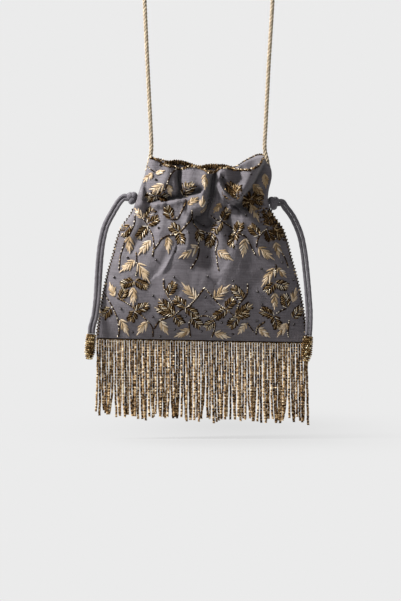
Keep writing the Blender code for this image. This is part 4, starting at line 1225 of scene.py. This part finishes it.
def add_rim_beading(sheets):
    """A zigzag of beads whipped over each panel's rim, and rows of them inside the back's."""
    for side, name in ((-1, "front"), (1, "back")):
        route = smooth_route(sheets[side][0][-1][2:-2:2], 0.4)
        stops = np.arange(RIM_PITCH, distances(route)[-1] - RIM_PITCH, RIM_PITCH)
        beads = Scatter(SEED_BEAD)
        draws = np.random.default_rng(23 + side)
        for k, (point, ahead) in enumerate(zip(read_route(route, stops), read_route(route, stops + 0.5))):
            inside = ((-0.9, 0.2, 0.9) if side > 0 else (0.8, 0.5, -0.6))[k % 3]
            point = point + (0, side * inside, (-0.3, 0.9, 0.4)[k % 3] + draws.normal(0, 0.2))
            way = ahead - point
            way = way / np.linalg.norm(way) + (0, 0, draws.normal(0, 0.5))
            bright = draws.random()
            tone = (0.9 if bright > 0.78 else 0.55 if bright > 0.5 else 0.08) - 0.15 * (side > 0)
            beads.put(point, way, (0, side, 0.25), RIM_BEAD, tone)
            if side > 0 and -37 < point[0] < 33:
                for row in (1, 2, 3):
                    below = point + (0, -3.2 - 0.1 * row, 0.9 - 1.35 * row)
                    beads.put(below, way, (0, -1, 0.1), INNER_ROW_BEAD, draws.choice((0.0, 0.12, 0.35, 0.5)))
        beads.finish(f"{name}_rim_beads", BEAD_MATERIAL, "antique_beads", f"{name}_rim_beading")


def add_seam_beading(cloth):
    """A zigzag of dark beads down both side seams, and the cluster by the right one."""
    draws = np.random.default_rng(41)
    for end, name in ((-1, "left"), (1, "right")):
        beads = Scatter(SEED_BEAD)
        for k, h in enumerate(np.arange(2.0, SEAM_TOP, SEAM_PITCH)):
            x = edge_x(end, h)
            bright = draws.random()
            tone = 0.72 if bright > 0.92 else 0.32 if bright > 0.72 else -0.1
            place = seam_point(x + end * (0.3, -0.7)[k % 2], h) + (0, -0.3 - 1.1 * (k % 2), 0)
            beads.put(place, (edge_x(end, h + 1.0) - x, 0, 1), (end * 0.5, -0.85, 0), SEAM_BEAD, tone)
        if end > 0:
            add_cluster(cloth, beads, draws)
        beads.finish(f"{name}_seam_beads", BEAD_MATERIAL, "antique_beads", f"{name}_seam_beading")


def add_cluster(cloth, beads, draws):
    """Beads sewn close together by the right seam, below the knot."""
    for _ in range(CLUSTER_COUNT):
        h = draws.uniform(100, 132)
        reach = 17 - 6 * abs(h - 117) / 17
        found = cloth.at(edge_x(1, h) - 1 - reach * draws.random() ** 1.6, h)
        if found is None:
            continue
        point, normal = found
        way = random_way(draws, normal)
        tone = draws.choice(CLUSTER_TONES[0], p=CLUSTER_TONES[1])
        beads.put(point + normal * 0.45, way, normal, CLUSTER_BEAD, tone)


# Fringe

STRAND_COUNT = 83
STRAND_PITCH = 2.556
FIRST_STRAND = -104.6
STRAND_GROUPS = 3
STRAND_LENGTH = 79.0
STRAND_SIDES = 7
STRAND_BEAD = 1.35
STRAND_TONES = ((0.33, 0.45, 0.56, 0.74), (0.20, 0.30, 0.28, 0.22))
STRAND_GIRTHS = ((1.33, 1.25, 1.15), (0.35, 0.4, 0.25))
BUNCHES = ((2, 3, 4), (0.4, 0.4, 0.2))                    # strands in a bunch
HEAD_BEAD = (1.7, 1.6, 1.6)
HEM_CORD = 0.95            # its radius


def draw_strands(draws):
    """Top, sideways drift of the foot, length, tone and girth of every strand. The feet of
    a bunch lean together."""
    strands = []
    left_in_bunch = 0
    for k in range(STRAND_COUNT):
        if left_in_bunch == 0:
            bunch = draws.choice(BUNCHES[0], p=BUNCHES[1])
            left_in_bunch = bunch
            drift = draws.normal(0, 0.8)
        middle = (bunch + 1) / 2 - left_in_bunch
        left_in_bunch -= 1
        x = FIRST_STRAND + STRAND_PITCH * k
        wobble = math.sin(k * 2.399) * 0.6 + math.sin(k * 0.71 + 1.0) * 0.4
        length = STRAND_LENGTH + 2.4 * wobble + draws.normal(0, 1.6) - 7.0 * math.exp(-k / 4.0)
        foot = -middle * draws.uniform(0.1, 1.0) + drift + draws.normal(0, 0.9)
        tone = draws.choice(STRAND_TONES[0], p=STRAND_TONES[1])
        girth = draws.choice(STRAND_GIRTHS[0], p=STRAND_GIRTHS[1])
        top = np.array((x, 0.0, -HANG_DROP - HEM_SLOPE * x - 1.0))
        strands.append((top, foot, length, tone, girth))
    return strands


def strand_mesh(k, strand, draws):
    """Points, quads and tones of one strand of beads."""
    top, foot, length, tone, girth = strand
    stations = []
    for bead in range(int(length / STRAND_BEAD)):
        shade = tone + draws.normal(0, 0.24) + (0.10 if bead % 2 else -0.10)
        # The narrow necks between beads are 0.3 darker: painted shade. The rest of the tone differs at random
        # and from bead to bead.
        for part, radius in ((0.06, 0.78), (0.30, 1.0), (0.74, 1.0)):
            stations.append(((bead + part) * STRAND_BEAD, radius * girth, shade - 0.3 * (radius < 1)))
    down, radius, shade = np.array(stations).T
    share = down / length
    sway = 0.22 * np.sin(share * (5 + 2 * (k % 4)) + 2.4 * k)
    sway += 0.14 * np.sin(share * 31 + 1.7 * k) + 0.11 * np.sin(share * 117 + 0.9 * k)
    bend = foot * share ** 4 + sway * np.minimum(share * 5, 1)
    layer = ((k * 2) % 5 - 2) * 0.55
    centre = top + np.stack([bend, layer + 0.2 * np.sin(share * 7 + 2 * k), -down], -1)
    turn = np.arange(STRAND_SIDES) * 2 * math.pi / STRAND_SIDES
    ring = np.stack([np.cos(turn), np.sin(turn), 0 * turn], -1)
    points = centre[:, None, :] + ring[None] * radius[:, None, None]
    tones = np.repeat(shade, STRAND_SIDES) + draws.normal(0, 0.13, STRAND_SIDES * len(shade))
    return points.reshape(-1, 3), grid_quads(len(stations), STRAND_SIDES, closed=True)[:, ::-1], tones


def add_fringe():
    """Strung beads hanging from the hem, the hem's cord and the bead at each strand's top."""
    draws = np.random.default_rng(53)
    strands = draw_strands(draws)
    per_group = math.ceil(STRAND_COUNT / STRAND_GROUPS)
    for group in range(STRAND_GROUPS):
        numbers = range(STRAND_COUNT)[group * per_group:(group + 1) * per_group]
        meshes = [strand_mesh(k, strands[k], draws) for k in numbers]
        points, faces = joined([(points, faces) for points, faces, _ in meshes])
        add_mesh(f"fringe_strands_{group + 1}", points, faces, FRINGE_MATERIAL, "fringe_beads", "fringe",
                 np.concatenate([tones for _, _, tones in meshes]))
    hem_x = np.linspace(-BOTTOM_HALF_WIDTH, BOTTOM_HALF_WIDTH, 150)
    hem = np.stack([hem_x, 0 * hem_x, -HANG_DROP - HEM_SLOPE * hem_x - 0.6], -1)
    points, faces = tube(hem, 8, lambda along, around: HEM_CORD + 0.25 * np.sin(along * 2.2))
    add_mesh("hem_cord", points, faces, THREAD_MATERIAL, "fringe_beads", tones=np.full(len(points), 0.04))
    beads = Scatter(SEED_BEAD)
    for k, (top, *_) in enumerate(strands):
        beads.put(top + (0, -0.5, -0.6), (0, 0, 1), (0, -1, 0), HEAD_BEAD, 0.95 if k % 3 else 0.55)
    beads.finish("fringe_heads", FRINGE_MATERIAL, "fringe_beads")


# Stage, in metres

FLOOR_LEVEL = -0.52
FLOOR_HALF = 6.0
FLOOR_COLOUR = (0.44, 0.44, 0.44, 1.0)
FLOOR_FALLOFF = 45.0       # how fast the lit floor gives way to its glow, away from the bag
FLOOR_SHARE = 0.18         # of the lit floor, right below the bag
PALE = (0.831, 0.831, 0.831, 1.0)
WHITE = (1.0, 1.0, 1.0, 1.0)
SHADOW_PLACE = (0.045, 0.26, 0.0)
SHADOW_SCALE = (8.5, 3.6, 0.0)
SHADOW_DEPTH = 0.13
WORLD_STRENGTH = 0.10
LAMP_TARGET = (0.0, 0.0, -0.36)

# Lamps: name, place, diameter, power
LAMPS = (
    ("key", (-0.84, -0.31, 0.44), 0.24, 26.5),
    ("fill", (-0.2, -2.2, 0.4), 1.4, 3.0),
    ("back_light", (-0.9, 1.3, 0.9), 0.9, 22.0),
)


def pale_rays(nodes):
    """1 for the rays that should see the plain pale ground."""
    path = nodes.node("LightPath").node.outputs
    total = path["Is Camera Ray"]
    for name in ("Is Glossy Ray", "Is Transmission Ray"):
        total = nodes.maths("ADD", total, path[name], use_clamp=True)
    return total


def add_floor():
    """A pale floor that keeps the bag's real shadow and fades into the backdrop. A soft darkening behind the
    bag is also painted into its glow: a painted shadow."""
    floor = Surface("pale_floor", Roughness=0.9, Base_Color=FLOOR_COLOUR, Specular_IOR_Level=0.0)
    place = floor.object_place()
    spread = floor.node("VectorMath", {0: place}, output=1, operation="LENGTH")
    lit_share = floor.total((floor.noise(place, 3.0), 0.03), (FLOOR_SHARE, 1.0))
    amount = floor.maths("MULTIPLY", floor.bell(spread, FLOOR_FALLOFF), lit_share)
    behind = floor.node("VectorMath", {0: place, 1: SHADOW_PLACE}, operation="SUBTRACT")
    away = floor.node("VectorMath", {0: floor.scaled(behind, SHADOW_SCALE)}, output=1, operation="LENGTH")
    # Painted shadow: the glow is dimmed in a soft patch behind the bag.
    glow_strength = floor.total((1.0, 1.0), (floor.bell(away, 1.0), -SHADOW_DEPTH))
    glow = floor.node("Emission", {"Color": PALE, "Strength": glow_strength})
    lit = floor.shader.outputs[0]
    shown = floor.node("MixShader", {0: amount, 1: glow, 2: lit})
    final = floor.node("MixShader", {0: pale_rays(floor), 1: lit, 2: shown})
    floor.feed(floor.tree.nodes["Material Output"].inputs["Surface"], final)
    mesh = bpy.data.meshes.new("floor")
    corners = [(x * FLOOR_HALF, y * FLOOR_HALF, 0) for x, y in ((-1, -1), (1, -1), (1, 1), (-1, 1))]
    mesh.from_pydata(corners, [], [(0, 1, 2, 3)])
    mesh.materials.append(floor.material)
    obj = bpy.data.objects.new("floor", mesh)
    obj.location = (0, 0, FLOOR_LEVEL)
    bpy.context.scene.collection.objects.link(obj)


def add_world():
    world = bpy.data.worlds.new("studio")
    bpy.context.scene.world = world
    world.use_nodes = True
    nodes = Nodes(world.node_tree)
    light = nodes.node("Background", {"Color": WHITE, "Strength": WORLD_STRENGTH})
    pale = nodes.node("Background", {"Color": PALE})
    mixed = nodes.node("MixShader", {0: pale_rays(nodes), 1: light, 2: pale})
    nodes.feed(nodes.tree.nodes["World Output"].inputs["Surface"], mixed)


def add_lamp(name, place, size, power):
    data = bpy.data.lights.new(name, "AREA")
    data.shape = "DISK"
    data.size = size
    data.energy = power
    lamp = bpy.data.objects.new(name, data)
    lamp.location = place
    lamp.rotation_euler = (Vector(LAMP_TARGET) - lamp.location).to_track_quat("-Z", "Y").to_euler()
    bpy.context.scene.collection.objects.link(lamp)


add_camera()
add_sling()
add_tails()
add_knots()
sheets = add_cloth()
lining = add_lining()
add_casing_strings(sheets)
front = FrontCloth(sheets[-1][0])
add_thread_leaves(front)
add_bead_leaves(front)
add_stems(front)
add_rim_beading(sheets)
add_seam_beading(front)
add_fringe()
add_floor()
add_world()
for lamp in LAMPS:
    add_lamp(*lamp)
bpy.context.scene.view_settings.view_transform = "Standard"
